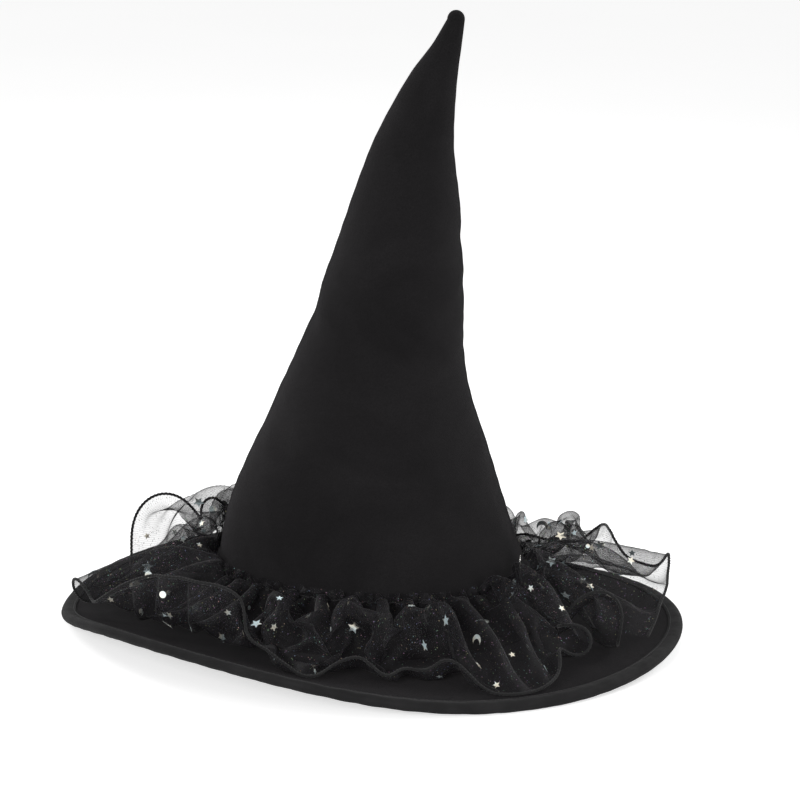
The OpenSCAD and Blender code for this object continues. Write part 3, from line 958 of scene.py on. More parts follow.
def relax(cloth, gap, goal, hold, rounds, soft, sag):
    """Relaxes a grid of points. hold says how firmly each point keeps to its goal."""
    rows, cols = cloth.shape[:2]
    flat = cloth.reshape(-1, 3).copy()
    goal, hold = goal.reshape(-1, 3), hold.reshape(-1, 1)
    free = 1 - (hold >= 1).astype(float)
    pairs = families(rows, cols, gap, soft)
    for turn in range(rounds):
        flat[:, 2] -= sag * free[:, 0]
        flat += (goal - flat) * hold
        for a, b, length, stiffness in pairs:
            apart = flat[b] - flat[a]
            size = np.maximum(np.linalg.norm(apart, axis=1, keepdims=True), 1e-7)
            both = np.maximum(free[a] + free[b], 1e-6)
            move = apart * ((size - length) / size * stiffness / both)
            flat[a] += move * free[a]
            flat[b] -= move * free[b]
        keep_clear(flat)
    return flat.reshape(rows, cols, 3)


def finer(cloth):
    """Twice as fine a grid, by a smooth curve through the points each way."""
    for axis in (0, 1):
        count = cloth.shape[axis]
        moved = np.moveaxis(cloth, axis, 0)
        wide = moved.reshape(count, -1)
        new = curve_through(np.arange(count), wide, np.arange(0, count - 0.75, 0.5))
        cloth = np.moveaxis(new.reshape(-1, *moved.shape[1:]), 0, axis)
    return cloth


def sideways_mean(values, spread):
    """A running mean with a bell-shaped weight."""
    reach = int(3 * spread)
    weight = np.exp(-0.5 * (np.arange(-reach, reach + 1) / spread) ** 2)
    before = 2 * values[0] - values[reach:0:-1]
    after = 2 * values[-1] - values[-2 : -reach - 2 : -1]
    padded = np.concatenate([before, values, after])
    return np.convolve(padded, weight / weight.sum(), "valid")


coarse_rows, coarse_columns = (FINE_ROWS + 1) // 2, (FINE_COLUMNS + 1) // 2
coarse_gap = 2 * SPACING
frill_rows = int(round(FRILL / coarse_gap))
hem_path = even_steps(hem_smooth, coarse_columns)
hem_goal, hem_turn = hem_path[:, :3], hem_path[:, 3]
spread_turn = np.minimum.accumulate(sideways_mean(hem_turn, 16))
share = (spread_turn - spread_turn[0]) / (spread_turn[-1] - spread_turn[0])
even = np.linspace(0, 1, coarse_columns)
head_turn = HEAD_START + (HEAD_END - HEAD_START) * (0.6 * share + 0.4 * even)
travel = np.linspace(0, STRIP_LENGTH, coarse_columns)
travel_points = np.stack([travel, 0 * travel, 0 * travel], axis=1)
gather = 2 * np.pi * travel * GATHERS / STRIP_LENGTH + 1.6 * soft_noise(travel_points, 0.05, 31)
depth_noise = 1 + 0.35 * soft_noise(travel_points, 0.03, 32)
gather_out = 2.5 * MM * depth_noise * (1 + np.sin(gather))

rows_below = coarse_rows - frill_rows
t = np.linspace(0, 1, rows_below)[:, None, None]
head_lean, head_radius = crown_at(np.array([HEADING_Z]))
head_point = round_points(head_radius[0] + 1.5 * MM, head_turn, HEADING_Z, head_lean[0])
outward = round_points(1.0, head_turn, 0.0)
chord = np.linalg.norm(hem_goal - head_point, axis=1)[:, None]
upward = np.array([0, 0, 1.0])
# how steeply the cloth leaves the heading, in degrees above level, in each direction
rise_known = [
    (-18, 62), (-50, 54), (-62, 28), (-75, 12), (-112, 10), (-140, 30), (-155, 70), (-172, 78), (-232, 75),
    (-255, 45), (-280, 22), (-330, 22), (-350, 48), (-386, 55),
]
rise_known = np.array(rise_known[::-1], float)
turned_up = (hem_turn > -153) & (hem_turn < -115)
hem_is_high = np.clip((hem_goal[:, 2] - 0.026) / 0.02, 0, 1)
turned_up = np.clip(sideways_mean(turned_up * 1.0, 3) * hem_is_high, 0, 1)
rise = np.radians(np.interp(head_turn, rise_known[:, 0], rise_known[:, 1]) * (1 - turned_up))[:, None]
leave = outward * np.cos(rise) + upward * np.sin(rise)
arrive = (hem_goal - head_point) / chord + outward * 0.5 - upward * 0.25
curl = turned_up[:, None]
arrive = arrive * (1 - curl) + (upward * 1.1 - outward * 0.25) * curl
arrive /= np.linalg.norm(arrive, axis=1)[:, None]
slack = np.clip((rows_below - 1) * coarse_gap - chord, 0, 45 * MM)
c1 = head_point + leave * (0.34 * chord + 0.55 * slack)
c2 = hem_goal - arrive * ((0.25 + 0.4 * curl) * chord + 0.25 * slack)
skirt = (1 - t) ** 3 * head_point + 3 * (1 - t) ** 2 * t * c1 + 3 * (1 - t) * t**2 * c2 + t**3 * hem_goal
down = np.linspace(0, 1, rows_below)[:, None] * (rows_below - 1) * coarse_gap
fading = np.exp(-down / (16 * MM))[..., None]
skirt = skirt + outward * (gather_out[:, None] * fading)
wide_fold = np.sin(2 * np.pi * travel / 0.036 + 2.5 * soft_noise(travel_points, 0.07, 33))
belly = np.sin(np.pi * np.linspace(0, 1, rows_below))[:, None, None]
skirt = skirt + belly * 3.0 * MM * wide_fold[:, None] * (0.6 * outward + 0.6 * upward)
up = np.arange(frill_rows, 0, -1)[:, None] * coarse_gap
frill_lean, frill_radius = crown_at(HEADING_Z + up)
frill_out = frill_radius + 1.5 * MM + gather_out * (1 + 0.25 * up / FRILL)
frill = round_points(frill_out, head_turn[None, :], HEADING_Z + up * 0.95, frill_lean)
cloth = np.concatenate([frill, skirt])

hold = np.full(cloth.shape[:2], 0.002)
hold[:frill_rows] = 0.05
hold[-1] = 0.35
hold[frill_rows] = 1.0
cloth = relax(cloth, coarse_gap, cloth.copy(), hold, 300, 0.16, 0.02 * MM)
cloth = finer(cloth)
hold = np.full(cloth.shape[:2], 0.0)
hold[-1] = 0.25
hold[2 * frill_rows] = 1.0
cloth = relax(cloth, SPACING, cloth.copy(), hold, 60, 0.25, 0.01 * MM)


def calmed(points, axis, spread, weight):
    """Evens the points out along one axis, by a share for each point."""
    line = np.moveaxis(points, axis, 0)
    flat = line.reshape(len(line), -1)
    smooth = np.stack([sideways_mean(column, spread) for column in flat.T], axis=1)
    smooth = np.moveaxis(smooth.reshape(line.shape), 0, axis)
    return points + (smooth - points) * weight


# the stiff hem runs in smooth curves, and the cloth just above it follows
to_hem = np.arange(FINE_ROWS)[::-1][:, None, None] * SPACING
cloth = calmed(cloth, 1, 4.0, 0.9 * np.exp(-to_hem / (9 * MM)))
cloth = calmed(cloth, 1, 1.2, 0.8)
keep_clear(cloth)
across_length = np.linalg.norm(np.diff(cloth, axis=0), axis=2).sum(axis=0)
along_length = np.linalg.norm(np.diff(cloth, axis=1), axis=2).sum(axis=1)
print("strip", cloth.shape, "across", across_length.mean().round(4))
print("along the heading", along_length[8].round(3), "and the hem", along_length[-1].round(3))
print("low", cloth.min(axis=(0, 1)).round(4), "high", cloth.max(axis=(0, 1)).round(4))

# %% [markdown]
# ## Organza
# Organza is woven from single shiny filaments with gaps between them, so it shows what is behind
# it. Seen flat it is mostly gaps, and seen edge-on its threads hide what lies behind. This one is
# crinkled in fine stripes along the strip and has metallic flecks woven in, which sparkle in
# several colours.


# %% Organza finish
def organza_finish(name, open_share):
    material, graph, surface = finish_of(
        name, (0.008, 0.008, 0.009), 0.5, Specular_IOR_Level=0.22, Sheen_Weight=0.03, Sheen_Roughness=0.3
    )
    uv = graph.add("ShaderNodeTexCoord").outputs["UV"]
    spot = graph.split(uv)
    # crinkle stripes run across the strip, a little wavy
    sway = graph.noise(uv, 70, detail=2)
    stripe_place = graph.math("ADD", spot[0], graph.math("MULTIPLY", sway, 0.0016))
    stripes = graph.math("SINE", graph.math("MULTIPLY", stripe_place, 2 * math.pi / 0.0013))
    stripes = graph.range(stripes, -1, 1)
    cloudy = graph.noise(uv, 45, detail=3)
    # flecks: one small cell in every few, each with its own colour and strength
    cells = graph.add("ShaderNodeTexVoronoi", feature="F1")
    cells.inputs["Scale"].default_value = 1500
    graph.link(uv, cells.inputs["Vector"])
    random_value = graph.add("ShaderNodeSeparateColor")
    graph.link(cells.outputs["Color"], random_value.inputs[0])
    chosen = graph.math("GREATER_THAN", random_value.outputs[0], 0.80)
    small = graph.math("LESS_THAN", cells.outputs["Distance"], 0.33)
    fleck = graph.math("MULTIPLY", chosen, small)
    tint = graph.add("ShaderNodeHueSaturation")
    tint.inputs["Color"].default_value = (0.42, 0.24, 0.31, 1)
    strength = graph.math("POWER", random_value.outputs[2], 7.0)
    graph.link(graph.range(strength, 0, 1, 0.05, 1.3), tint.inputs["Value"])
    graph.link(random_value.outputs[1], tint.inputs["Hue"])
    dark = graph.mix(stripes, (0.003, 0.003, 0.004), (0.024, 0.022, 0.025))
    graph.link(graph.mix(fleck, dark, tint.outputs[0]), surface.inputs["Base Color"])
    graph.link(fleck, surface.inputs["Metallic"])
    # a slanting look passes more threads: what is open face-on is raised to the power 1 / cosine
    facing = graph.add("ShaderNodeLayerWeight")
    facing.inputs["Blend"].default_value = 0.5
    cosine = graph.math("MAXIMUM", graph.math("SUBTRACT", 1.0, facing.outputs["Facing"]), 0.10)
    gaps = graph.range(stripes, 0, 1, open_share + 0.045, open_share - 0.055)
    gaps = graph.math("ADD", gaps, graph.range(cloudy, 0.3, 0.7, 0.04, -0.06))
    through = graph.math("POWER", gaps, graph.math("DIVIDE", 1.0, cosine))
    cover = graph.math("SUBTRACT", 1.0, through)
    cover = graph.math("MAXIMUM", cover, graph.math("MULTIPLY", fleck, 0.92), clamp=True)
    graph.link(cover, surface.inputs["Alpha"])
    bump(graph, surface, (stripes, 0.0006, 0.5), (cloudy, 0.002, 0.25))
    return material


organza = organza_finish("sheer_organza", 0.70)


def foil_finish(name, color, roughness):
    """Thin metal foil, a little crumpled, that shifts in colour from place to place."""
    material, graph, surface = finish_of(name, color, roughness, Metallic=0.6)
    place = graph.add("ShaderNodeTexCoord").outputs["Object"]
    shift = graph.noise(place, 90, detail=1)
    warm = tuple(c * k for c, k in zip(color, (1.0, 0.93, 0.78)))
    cool = tuple(c * k for c, k in zip(color, (0.84, 1.0, 1.06)))
    graph.link(graph.mix(graph.range(shift, 0.40, 0.60), warm, cool), surface.inputs["Base Color"])
    wrinkled = graph.noise(place, 900, detail=2)
    graph.link(graph.range(wrinkled, 0.3, 0.7, roughness * 0.7, roughness * 1.5), surface.inputs["Roughness"])
    bump(graph, surface, (wrinkled, 0.0002, 0.3))
    return material


silver_foil = foil_finish("silver_foil", (0.96, 0.96, 0.95), 0.36)

# %% Ruffle strip
ruffle = new_piece("organza_ruffle", cloth.reshape(-1, 3), grid_faces(FINE_ROWS, FINE_COLUMNS), organza)
strip_across = (np.arange(FINE_ROWS) - 2 * frill_rows) * SPACING
strip_along = np.linspace(0, STRIP_LENGTH, FINE_COLUMNS)
metre_uv(ruffle, strip_across + FRILL, strip_along, FINE_ROWS * FINE_COLUMNS)
print(ruffle.name, triangles(ruffle), "triangles")

# %% [markdown]
# ## Rolled hem
# The lower edge is rolled and oversewn with black thread, wrap against wrap, which makes it look
# like a thin rope and keeps the edge stiff enough to stand up in curls.


# %% Hem
def frames_along(path, closed=False):
    """Tangents and two steady side directions along a path."""
    step = np.roll(path, -1, 0) - np.roll(path, 1, 0)
    if not closed:
        step[0], step[-1] = path[1] - path[0], path[-1] - path[-2]
    tangent = step / np.linalg.norm(step, axis=1, keepdims=True)
    side = np.empty_like(path)
    first = np.cross(tangent[0], (0, 0, 1.0))
    side[0] = first / np.linalg.norm(first)
    for i in range(1, len(path)):
        turned = side[i - 1] - tangent[i] * np.dot(side[i - 1], tangent[i])
        side[i] = turned / np.linalg.norm(turned)
    return tangent, side, np.cross(tangent, side)


def cord_tube(name, path, radius, sides, material, wrap=0.0, pitch=1.0):
    """A round cord along a path. wrap raises a slanted ridge, pitch metres apart."""
    tangent, side, other = frames_along(path)
    around = np.linspace(0, 2 * np.pi, sides, endpoint=False)
    travelled = length_along(path)
    lay = 2 * np.pi * travelled[:, None] / pitch + around[None, :]
    size = radius * (1 + wrap * np.cos(lay))
    size[0], size[-1] = size[0] * 0.6, size[-1] * 0.6
    ring = (
        path[:, None, :]
        + side[:, None, :] * (np.cos(around) * size)[..., None]
        + other[:, None, :] * (np.sin(around) * size)[..., None]
    )
    piece = ring_tube(name, ring, material, closed=False)
    layer = piece.data.uv_layers.new(name="UVMap")
    spots = np.empty(len(piece.data.loops), dtype=int)
    piece.data.loops.foreach_get("vertex_index", spots)
    uv = np.stack([travelled[spots // sides], (spots % sides) / sides], axis=1)
    layer.data.foreach_set("uv", uv.ravel())
    return piece


hem_line = even_steps(cloth[-1], 3200)
hem_cord = cord_tube("ruffle_rolled_hem", hem_line, 0.85 * MM, 8, hem_thread, wrap=0.16, pitch=2.4 * MM)
print(hem_cord.name, triangles(hem_cord), "triangles, length", round(length_along(hem_line)[-1], 3), "m")

# %% [markdown]
# ## Stitches
# Every row of stitching is made by one Geometry Nodes tree: it steps along a line at the stitch
# pitch, lays a short rounded thread on each step, and turns it to run along the line.


# %% Stitch rows
def stitch_tree():
    tree = bpy.data.node_groups.new("stitch row", "GeometryNodeTree")
    face = tree.interface
    face.new_socket("Geometry", in_out="INPUT", socket_type="NodeSocketGeometry")
    for label in ("Pitch", "Length", "Thickness"):
        face.new_socket(label, in_out="INPUT", socket_type="NodeSocketFloat")
    face.new_socket("Material", in_out="INPUT", socket_type="NodeSocketMaterial")
    face.new_socket("Geometry", in_out="OUTPUT", socket_type="NodeSocketGeometry")
    graph = Graph(tree)
    given, made = graph.add("NodeGroupInput"), graph.add("NodeGroupOutput")
    line = graph.add("GeometryNodeMeshToCurve")
    graph.link(given.outputs["Geometry"], line.inputs["Mesh"])
    steps = graph.add("GeometryNodeResampleCurve", mode="LENGTH")
    graph.link(line.outputs["Curve"], steps.inputs["Curve"])
    graph.link(given.outputs["Pitch"], steps.inputs["Length"])
    ball = graph.add("GeometryNodeMeshUVSphere")
    ball.inputs["Segments"].default_value = 6
    ball.inputs["Rings"].default_value = 6
    ball.inputs["Radius"].default_value = 0.5
    keep = graph.add("GeometryNodeStoreNamedAttribute", data_type="FLOAT2", domain="CORNER")
    keep.inputs["Name"].default_value = "UVMap"
    graph.link(ball.outputs["Mesh"], keep.inputs["Geometry"])
    spot = graph.split(ball.outputs["UV Map"])
    long_way = graph.math("MULTIPLY", spot[1], given.outputs["Length"])
    graph.link(graph.combine(long_way, spot[0]), keep.inputs["Value"])
    stretch = graph.add("GeometryNodeTransform")
    graph.link(keep.outputs["Geometry"], stretch.inputs["Geometry"])
    size = graph.combine(given.outputs["Thickness"], given.outputs["Thickness"], given.outputs["Length"])
    graph.link(size, stretch.inputs["Scale"])
    turn = graph.add("FunctionNodeAlignRotationToVector", axis="Z")
    graph.link(graph.add("GeometryNodeInputTangent").outputs[0], turn.inputs["Vector"])
    place = graph.add("GeometryNodeInstanceOnPoints")
    graph.link(steps.outputs["Curve"], place.inputs["Points"])
    graph.link(stretch.outputs["Geometry"], place.inputs["Instance"])
    graph.link(turn.outputs["Rotation"], place.inputs["Rotation"])
    real = graph.add("GeometryNodeRealizeInstances")
    graph.link(place.outputs["Instances"], real.inputs["Geometry"])
    coat = graph.add("GeometryNodeSetMaterial")
    graph.link(real.outputs["Geometry"], coat.inputs["Geometry"])
    graph.link(given.outputs["Material"], coat.inputs["Material"])
    graph.link(coat.outputs["Geometry"], made.inputs["Geometry"])
    return tree


stitch_row = stitch_tree()


def set_inputs(modifier, **values):
    """Sets a node tree's inputs by name, through their identifiers."""
    for item in modifier.node_group.interface.items_tree:
        if item.item_type == "SOCKET" and item.in_out == "INPUT" and item.name in values:
            modifier[item.identifier] = values[item.name]


def grown(name, source, tree, **values):
    """Runs a node tree on a piece and keeps the result as a plain mesh."""
    modifier = source.modifiers.new(tree.name, "NODES")
    modifier.node_group = tree
    set_inputs(modifier, **values)
    source.update_tag()
    bpy.context.view_layer.update()
    seen = source.evaluated_get(bpy.context.evaluated_depsgraph_get())
    mesh = bpy.data.meshes.new_from_object(seen)
    mesh.name = name
    mesh.polygons.foreach_set("use_smooth", [True] * len(mesh.polygons))
    piece = bpy.data.objects.new(name, mesh)
    bpy.context.collection.objects.link(piece)
    bpy.data.objects.remove(source)
    return piece


def line_of(points, closed=False):
    """A mesh that is only a line, for a node tree to follow."""
    count = len(points)
    mesh = bpy.data.meshes.new("line")
    edges = [(i, (i + 1) % count) for i in range(count if closed else count - 1)]
    mesh.from_pydata([tuple(p) for p in points], edges, [])
    line = bpy.data.objects.new("line", mesh)
    bpy.context.collection.objects.link(line)
    return line


def stitches(name, points, pitch, length, thick, closed=False, thread=None):
    made = grown(
        name, line_of(points, closed), stitch_row,
        Pitch=pitch, Length=length, Thickness=thick, Material=thread or seam_thread,
    )
    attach(made, "crown")
    print(name, triangles(made), "triangles")
    return made


turns = np.linspace(0, 360, 720, endpoint=False)
top_line_r = brim_r - 7.6 * MM
binding_top = stitches(
    "binding_topstitch", round_points(top_line_r, turns, brim_z(top_line_r, turns) + 3.0 * MM),
    3.4 * MM, 2.7 * MM, 0.5 * MM, closed=True,
)
stitches(
    "binding_understitch", round_points(top_line_r, turns, brim_z(top_line_r, turns) - 3.0 * MM),
    3.4 * MM, 2.7 * MM, 0.5 * MM, closed=True,
)
heading_row = 2 * frill_rows
heading_turn = np.interp(np.linspace(0, 1, FINE_COLUMNS), even, head_turn)
heading_line = cloth[heading_row] + round_points(0.45 * MM, heading_turn, 0.0)
ruffle_seam = stitches("ruffle_gathering", heading_line, 3.2 * MM, 2.6 * MM, 0.45 * MM)
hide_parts("binding_stitching")
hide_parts("ruffle_stitching", "ruffle_heading")

# %% [markdown]
# ## Foil prints
# Stars, dots and crescents of silver foil are pressed on the strip. Their places are scattered with
# a fixed seed and kept apart. Stars are turned at random, and crescents lie with their backs about
# upward. A second Geometry Nodes tree lays them: it takes one point for each print, with its size
# and its rotation stored on it.


# %% Prints
FOIL = 0.12 * MM


def flat_shape(name, outline):
    """A thin plate with a given outline, facing +Z."""
    count = len(outline)
    points = [(x, y, z) for z in (-0.5, 0.5) for x, y in outline]
    faces = [(i, (i + 1) % count, count + (i + 1) % count, count + i) for i in range(count)]
    points += [(0.0, 0.0, -0.5), (0.0, 0.0, 0.5)]
    if name == "crescent":
        half = count // 2
        points = points[:-2]
        for k in range(half - 1):
            a, b, c, d = k, k + 1, count - 2 - k, count - 1 - k
            faces += [(d, c, b, a), tuple(count + q for q in (a, b, c, d))]
    else:
        low, high = 2 * count, 2 * count + 1
        for i in range(count):
            n = (i + 1) % count
            faces += [(low, n, i), (high, count + i, count + n)]
    plate = new_piece(name, np.array(points), faces, silver_foil, smooth=False)
    plate.data.transform(Matrix.Diagonal((1, 1, FOIL, 1)))
    return plate


def turned_points(radii, start=90.0):
    angles = np.radians(start + 360 * np.arange(len(radii)) / len(radii))
    return [(r * math.cos(a), r * math.sin(a)) for r, a in zip(radii, angles)]


star = flat_shape("star", turned_points([0.5, 0.235] * 5))
disc = flat_shape("disc", turned_points([0.5] * 18))
outer_arc = [(0.5 * math.cos(a), 0.5 * math.sin(a)) for a in np.radians(np.linspace(-128, 128, 14))]
inner_arc = [
    (0.40 * math.cos(a) - 0.28, 0.40 * math.sin(a)) for a in np.radians(np.linspace(100, -100, 14))
]
crescent = flat_shape("crescent", outer_arc + inner_arc)


def print_tree():
    tree = bpy.data.node_groups.new("print layer", "GeometryNodeTree")
    face = tree.interface
    face.new_socket("Geometry", in_out="INPUT", socket_type="NodeSocketGeometry")
    face.new_socket("Shape", in_out="INPUT", socket_type="NodeSocketObject")
    face.new_socket("Material", in_out="INPUT", socket_type="NodeSocketMaterial")
    face.new_socket("Geometry", in_out="OUTPUT", socket_type="NodeSocketGeometry")
    graph = Graph(tree)
    given, made = graph.add("NodeGroupInput"), graph.add("NodeGroupOutput")
    shape = graph.add("GeometryNodeObjectInfo")
    graph.link(given.outputs["Shape"], shape.inputs["Object"])
    turn = graph.add("GeometryNodeInputNamedAttribute", data_type="FLOAT_VECTOR")
    turn.inputs["Name"].default_value = "turn"
    size = graph.add("GeometryNodeInputNamedAttribute", data_type="FLOAT")
    size.inputs["Name"].default_value = "size"
    rotation = graph.add("FunctionNodeEulerToRotation")
    graph.link(turn.outputs["Attribute"], rotation.inputs[0])
    place = graph.add("GeometryNodeInstanceOnPoints")
    graph.link(given.outputs["Geometry"], place.inputs["Points"])
    graph.link(shape.outputs["Geometry"], place.inputs["Instance"])
    graph.link(rotation.outputs[0], place.inputs["Rotation"])
    scale = graph.combine(size.outputs["Attribute"], size.outputs["Attribute"], 1.0)
    graph.link(scale, place.inputs["Scale"])
    real = graph.add("GeometryNodeRealizeInstances")
    graph.link(place.outputs["Instances"], real.inputs["Geometry"])
    coat = graph.add("GeometryNodeSetMaterial")
    graph.link(real.outputs["Geometry"], coat.inputs["Geometry"])
    graph.link(given.outputs["Material"], coat.inputs["Material"])
    graph.link(coat.outputs["Geometry"], made.inputs["Geometry"])
    return tree


print_layer = print_tree()


def strip_spot(along, across):
    """Place, outward normal and the direction along the strip, at a spot of the strip in metres."""
    column = np.clip(along / SPACING, 1, FINE_COLUMNS - 3)
    row = np.clip((across + FRILL) / SPACING, 1, FINE_ROWS - 3)
    i, j = int(row), int(column)
    corner = cloth[i, j]
    here = corner + (cloth[i, j + 1] - corner) * (column - j) + (cloth[i + 1, j] - corner) * (row - i)
    along_dir = cloth[i, j + 2] - cloth[i, j - 1]
    across_dir = cloth[i + 2, j] - cloth[i - 1, j]
    normal = np.cross(along_dir, across_dir)
    normal /= np.linalg.norm(normal)
    shown = here * (1, 1, 0) / np.linalg.norm(here[:2]) + (0, 0, 0.6)
    normal = normal * (1 if normal @ shown > 0 else -1)
    return here + 0.22 * MM * normal, normal, along_dir / np.linalg.norm(along_dir)


def lay_prints(name, shape, places, replaced):
    """Prints of one shape. Each place is along, across, size and turn in its own plane."""
    mesh = bpy.data.meshes.new(name + "_points")
    spots, angles, sizes = [], [], []
    for along, across, size, turn in places:
        here, normal, forward = strip_spot(along, across)
        side = np.cross(normal, forward)
        if shape == crescent:
            # the back of each crescent points about upward
            turn = math.atan2(side[2], forward[2]) + 0.12 * math.sin(7 * turn)
        frame_3 = Matrix((forward, side, normal)).transposed()
        spots.append(here)
        angles.append(tuple((frame_3 @ Matrix.Rotation(turn, 3, "Z")).to_euler()))
        sizes.append(size)
    mesh.from_pydata([tuple(p) for p in spots], [], [])
    turns = mesh.attributes.new("turn", "FLOAT_VECTOR", "POINT")
    turns.data.foreach_set("vector", np.array(angles).ravel())
    mesh.attributes.new("size", "FLOAT", "POINT").data.foreach_set("value", np.array(sizes))
    source = bpy.data.objects.new(name + "_points", mesh)
    bpy.context.collection.objects.link(source)
    made = grown(name, source, print_layer, Shape=shape, Material=silver_foil)
    made.data.polygons.foreach_set("use_smooth", [False] * len(made.data.polygons))
    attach(made, "crown")
    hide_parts(replaced)
    print(name, len(places), "prints,", triangles(made), "triangles")
    return made


PRINT_FROM, PRINT_TO = 15 * MM, STRIP_LENGTH - 15 * MM
PRINT_LOW, PRINT_HIGH = 10 * MM, 88 * MM
PRINTS_APART = 13 * MM


def scattered(count, seed, sizes, taken):
    """Random places along and across the strip, kept apart from each other and from those taken."""
    source = np.random.default_rng(seed)
    found = []
    while len(found) < count:
        along, across = source.uniform(PRINT_FROM, PRINT_TO), source.uniform(PRINT_LOW, PRINT_HIGH)
        if all((along - p[0]) ** 2 + (across - p[1]) ** 2 > PRINTS_APART**2 for p in taken):
            size = sizes[source.integers(len(sizes))] * MM
            found.append((along, across, size, source.uniform(0, 2 * math.pi)))
            taken.append(found[-1])
    return found


taken = []
moon_places = scattered(10, 6, (7.0, 8.0), taken)
star_places = scattered(110, 4, (4.2, 4.4, 4.6, 5.0, 5.4, 7.2), taken)
dot_places = scattered(26, 5, (2.6, 4.2, 4.8), taken)
star_prints = lay_prints("foil_stars", star, star_places, "ruffle_stars")
dot_prints = lay_prints("foil_dots", disc, dot_places, "ruffle_dots")
moon_prints = lay_prints("foil_crescents", crescent, moon_places, "ruffle_moons")
for shape in (star, disc, crescent):
    bpy.data.objects.remove(shape)

for piece, replaced, name in ((ruffle, "ruffle_strip", "organza"), (hem_cord, "ruffle_hem", "hem_thread")):
    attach(piece, "crown")
    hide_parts(replaced)

# %% [markdown]
# ## Dressmaker's pin
# A steel pin with a small ball head is left in the heading, where the two ends of the strip lap.
# It stands almost upright: the head is at the bottom and the point is hidden in the velvet.

# %% Pin
pin_low = round_points(98.8 * MM, -26.9, 41.0 * MM)
pin_high = round_points(95.0 * MM, -23.2, 58.0 * MM)
pin_path = pin_low + np.linspace(0, 1, 24)[:, None] * (pin_high - pin_low)
pin_metal = plain_grain(
    "pin_metal", (0.80, 0.79, 0.76), (0.70, 0.69, 0.66), 0.22, 0.001, 0.00002, Metallic=1.0
)
# (distance from the middle of the head, radius), as shares of the head's radius
head_places = np.array([
    (-1.0, 0.12), (-0.92, 0.45), (-0.7, 0.75), (-0.35, 0.96), (0.0, 1.0), (0.35, 0.96), (0.7, 0.75),
    (0.92, 0.45), (1.0, 0.3),
])
pin_tangent, pin_side, pin_other = frames_along(pin_path)
PIN_RADIUS, PIN_HEAD = 0.36 * MM, 1.1 * MM
head_path = pin_low + head_places[:, :1] * PIN_HEAD * pin_tangent[0]
path = np.concatenate([head_path, pin_path[2:]])
pin_shaft = np.full(len(pin_path) - 4, PIN_RADIUS)
radii = np.concatenate([head_places[:, 1] * PIN_HEAD, pin_shaft, [PIN_RADIUS * 0.7, PIN_RADIUS * 0.15]])
around = np.linspace(0, 2 * np.pi, 16, endpoint=False)
rings = path[:, None, :] + radii[:, None, None] * (
    pin_side[0] * np.cos(around)[:, None] + pin_other[0] * np.sin(around)[:, None]
)
pin = ring_tube("dressmaker_pin", rings, pin_metal, closed=False)
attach(pin, "crown")
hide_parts("ruffle_pin")

# %% [markdown]
# ## Sweatband
# Inside the opening a ribbed band touches the head. It is sewn to the foot of the crown and hides
# the raw edges of the cloths.

# %% Sweatband
band_low, band_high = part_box("sweatband")
band_out = band_high[0]
band_z = np.linspace(band_low[2] + 0.2 * MM, band_high[2] - 0.2 * MM, 22)[:, None]
band_degrees = np.linspace(0, 360, 240, endpoint=False)[None, :]
band_flat = round_points(band_out, band_degrees, band_z)
band_wave = 0.12 * MM * soft_noise(band_flat, 0.03, 41)
edge_roll = 0.15 * MM * np.cos(np.linspace(0, np.pi, 22))[:, None] ** 8
band_outer = round_points(band_out - edge_roll + 0 * band_degrees, band_degrees, band_z)
band_inner = round_points(band_out - 0.65 * MM + band_wave + edge_roll, band_degrees, band_z)
band = thick_sheet("ribbed_sweatband", band_outer[::-1], band_inner[::-1], True, band_grosgrain)
metre_uv(band, band_z[::-1, 0], np.linspace(0, 2 * np.pi * band_out, 240), 22 * 240)
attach(band, "crown")
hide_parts("sweatband")

# %% [markdown]
# ## Finishes of the CAD parts that stay
# The board, the wire, the tape and the label are shown as the CAD made them. Each gets
# the finish of its own material.

# %% Finishes on the CAD nodes
def plate_weave(name, color, other, pitch):
    """A fine weave on object coordinates, for small flat pieces that stand upright."""
    material, graph, surface = finish_of(name, color, 0.75, Specular_IOR_Level=0.3)
    place = graph.split(graph.add("ShaderNodeTexCoord").outputs["Object"])
    threads = use_group(graph, woven_threads, Along=place[0], Across=place[2], Pitch=pitch)
    graph.link(graph.mix(threads["Height"], color, other), surface.inputs["Base Color"])
    bump(graph, surface, (threads["Height"], 0.0001, 0.5))
    return material


label_cloth = plate_weave("label_cloth", (0.70, 0.69, 0.65), (0.80, 0.79, 0.76), 0.0006)
tape_cloth = plate_weave("tape_cloth", (0.022, 0.022, 0.024), (0.036, 0.035, 0.038), 0.0009)
stitch_black = plain_grain(
    "stitch_black", (0.020, 0.020, 0.021), (0.034, 0.033, 0.035), 0.6, 0.0004, 0.00008
)
for name, finish in (
    ("brim_stiffener", felt_finish),
    ("brim_edge_wire", wire_finish),
    ("crown_seam_tape", tape_cloth),
    ("care_label", label_cloth),
    ("sweatband_stitching", stitch_black),
):
    material_on(nodes[name], finish)

# %% [markdown]
# ## Studio
# A wide pale floor, a large soft light in front, a softer one from the right, and lights behind
# that pick out the edges of the black cloth. The floor and the surroundings look brighter to the
# camera than they light the hat, so that the cloth stays black on a clean pale ground.

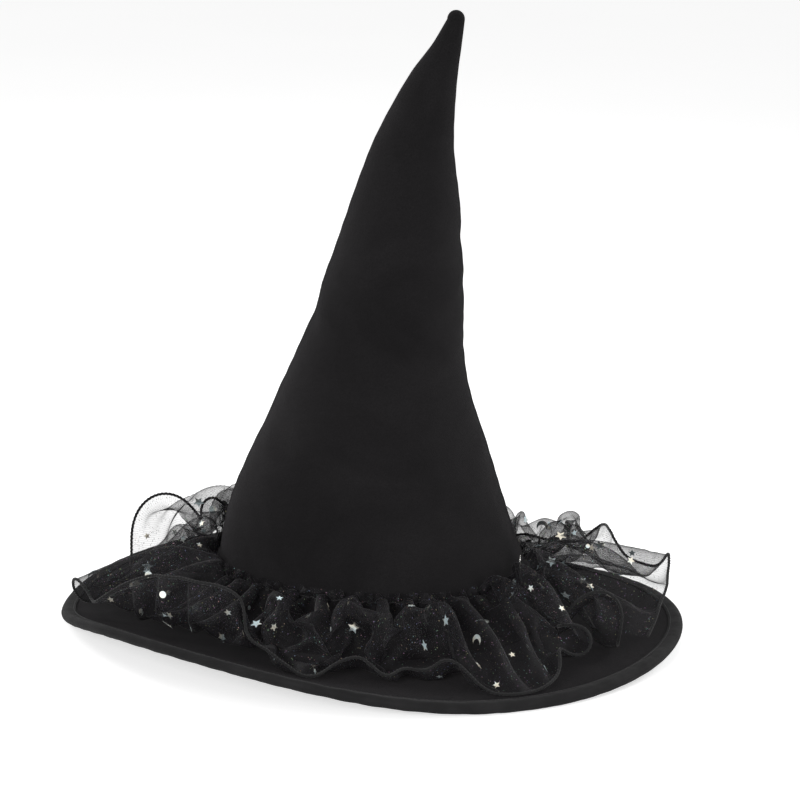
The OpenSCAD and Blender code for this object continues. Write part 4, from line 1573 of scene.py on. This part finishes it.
# %% Floor and lights
FLOOR_LIFT = 0.60
ROOM_LIGHT = 0.36
world = bpy.data.worlds.new("studio")
bpy.context.scene.world = world
world.use_nodes = True
graph = Graph(world.node_tree)
room = world.node_tree.nodes["Background"]
room.inputs["Color"].default_value = (1, 1, 1, 1)
seen = graph.add("ShaderNodeLightPath").outputs["Is Camera Ray"]
graph.link(graph.range(seen, 0, 1, ROOM_LIGHT, 1.0), room.inputs["Strength"])

floor_finish, graph, surface = finish_of("floor_finish", (0.90, 0.90, 0.90), 0.9)
grain = graph.noise(graph.add("ShaderNodeTexCoord").outputs["Object"], 3, detail=2)
graph.link(graph.mix(grain, (0.88, 0.88, 0.88), (0.92, 0.92, 0.92)), surface.inputs["Base Color"])
seen = graph.add("ShaderNodeLightPath").outputs["Is Camera Ray"]
surface.inputs["Emission Color"].default_value = (1, 1, 1, 1)
graph.link(graph.math("MULTIPLY", seen, FLOOR_LIFT), surface.inputs["Emission Strength"])
FLOOR_REACH = 30.0
floor_turns = np.linspace(0, 360, 48, endpoint=False)[None, :]
floor_rings = np.array([0.01, 0.5, 1.0, 3.0, 8.0, FLOOR_REACH])[:, None]
floor_points = round_points(floor_rings, floor_turns, 0.0 * floor_rings)
floor_faces = grid_faces(6, 48, around=True, flip=True)
floor_sheet = new_piece("floor", floor_points.reshape(-1, 3), floor_faces, floor_finish)


def soft_light(name, place, size, power, aim=(0, 0, 0.15), warmth=(1, 1, 1)):
    light = bpy.data.lights.new(name, "AREA")
    light.shape = "DISK"
    light.size = size
    light.energy = power
    light.color = warmth
    holder = bpy.data.objects.new(name, light)
    bpy.context.collection.objects.link(holder)
    holder.location = place
    holder.rotation_euler = (Vector(aim) - Vector(place)).to_track_quat("-Z", "Y").to_euler()
    return holder


soft_light("key", (-0.9, -2.2, 0.8), 1.1, 36)
soft_light("fill", (1.5, -1.8, 0.55), 1.2, 18)
soft_light("top", (0.1, 0.3, 2.0), 0.9, 3)
soft_light("behind_left", (-1.3, 0.9, 0.9), 0.6, 8)
soft_light("behind_right", (1.3, 0.8, 0.9), 0.6, 8)
bpy.context.scene.view_settings.view_transform = "Standard"
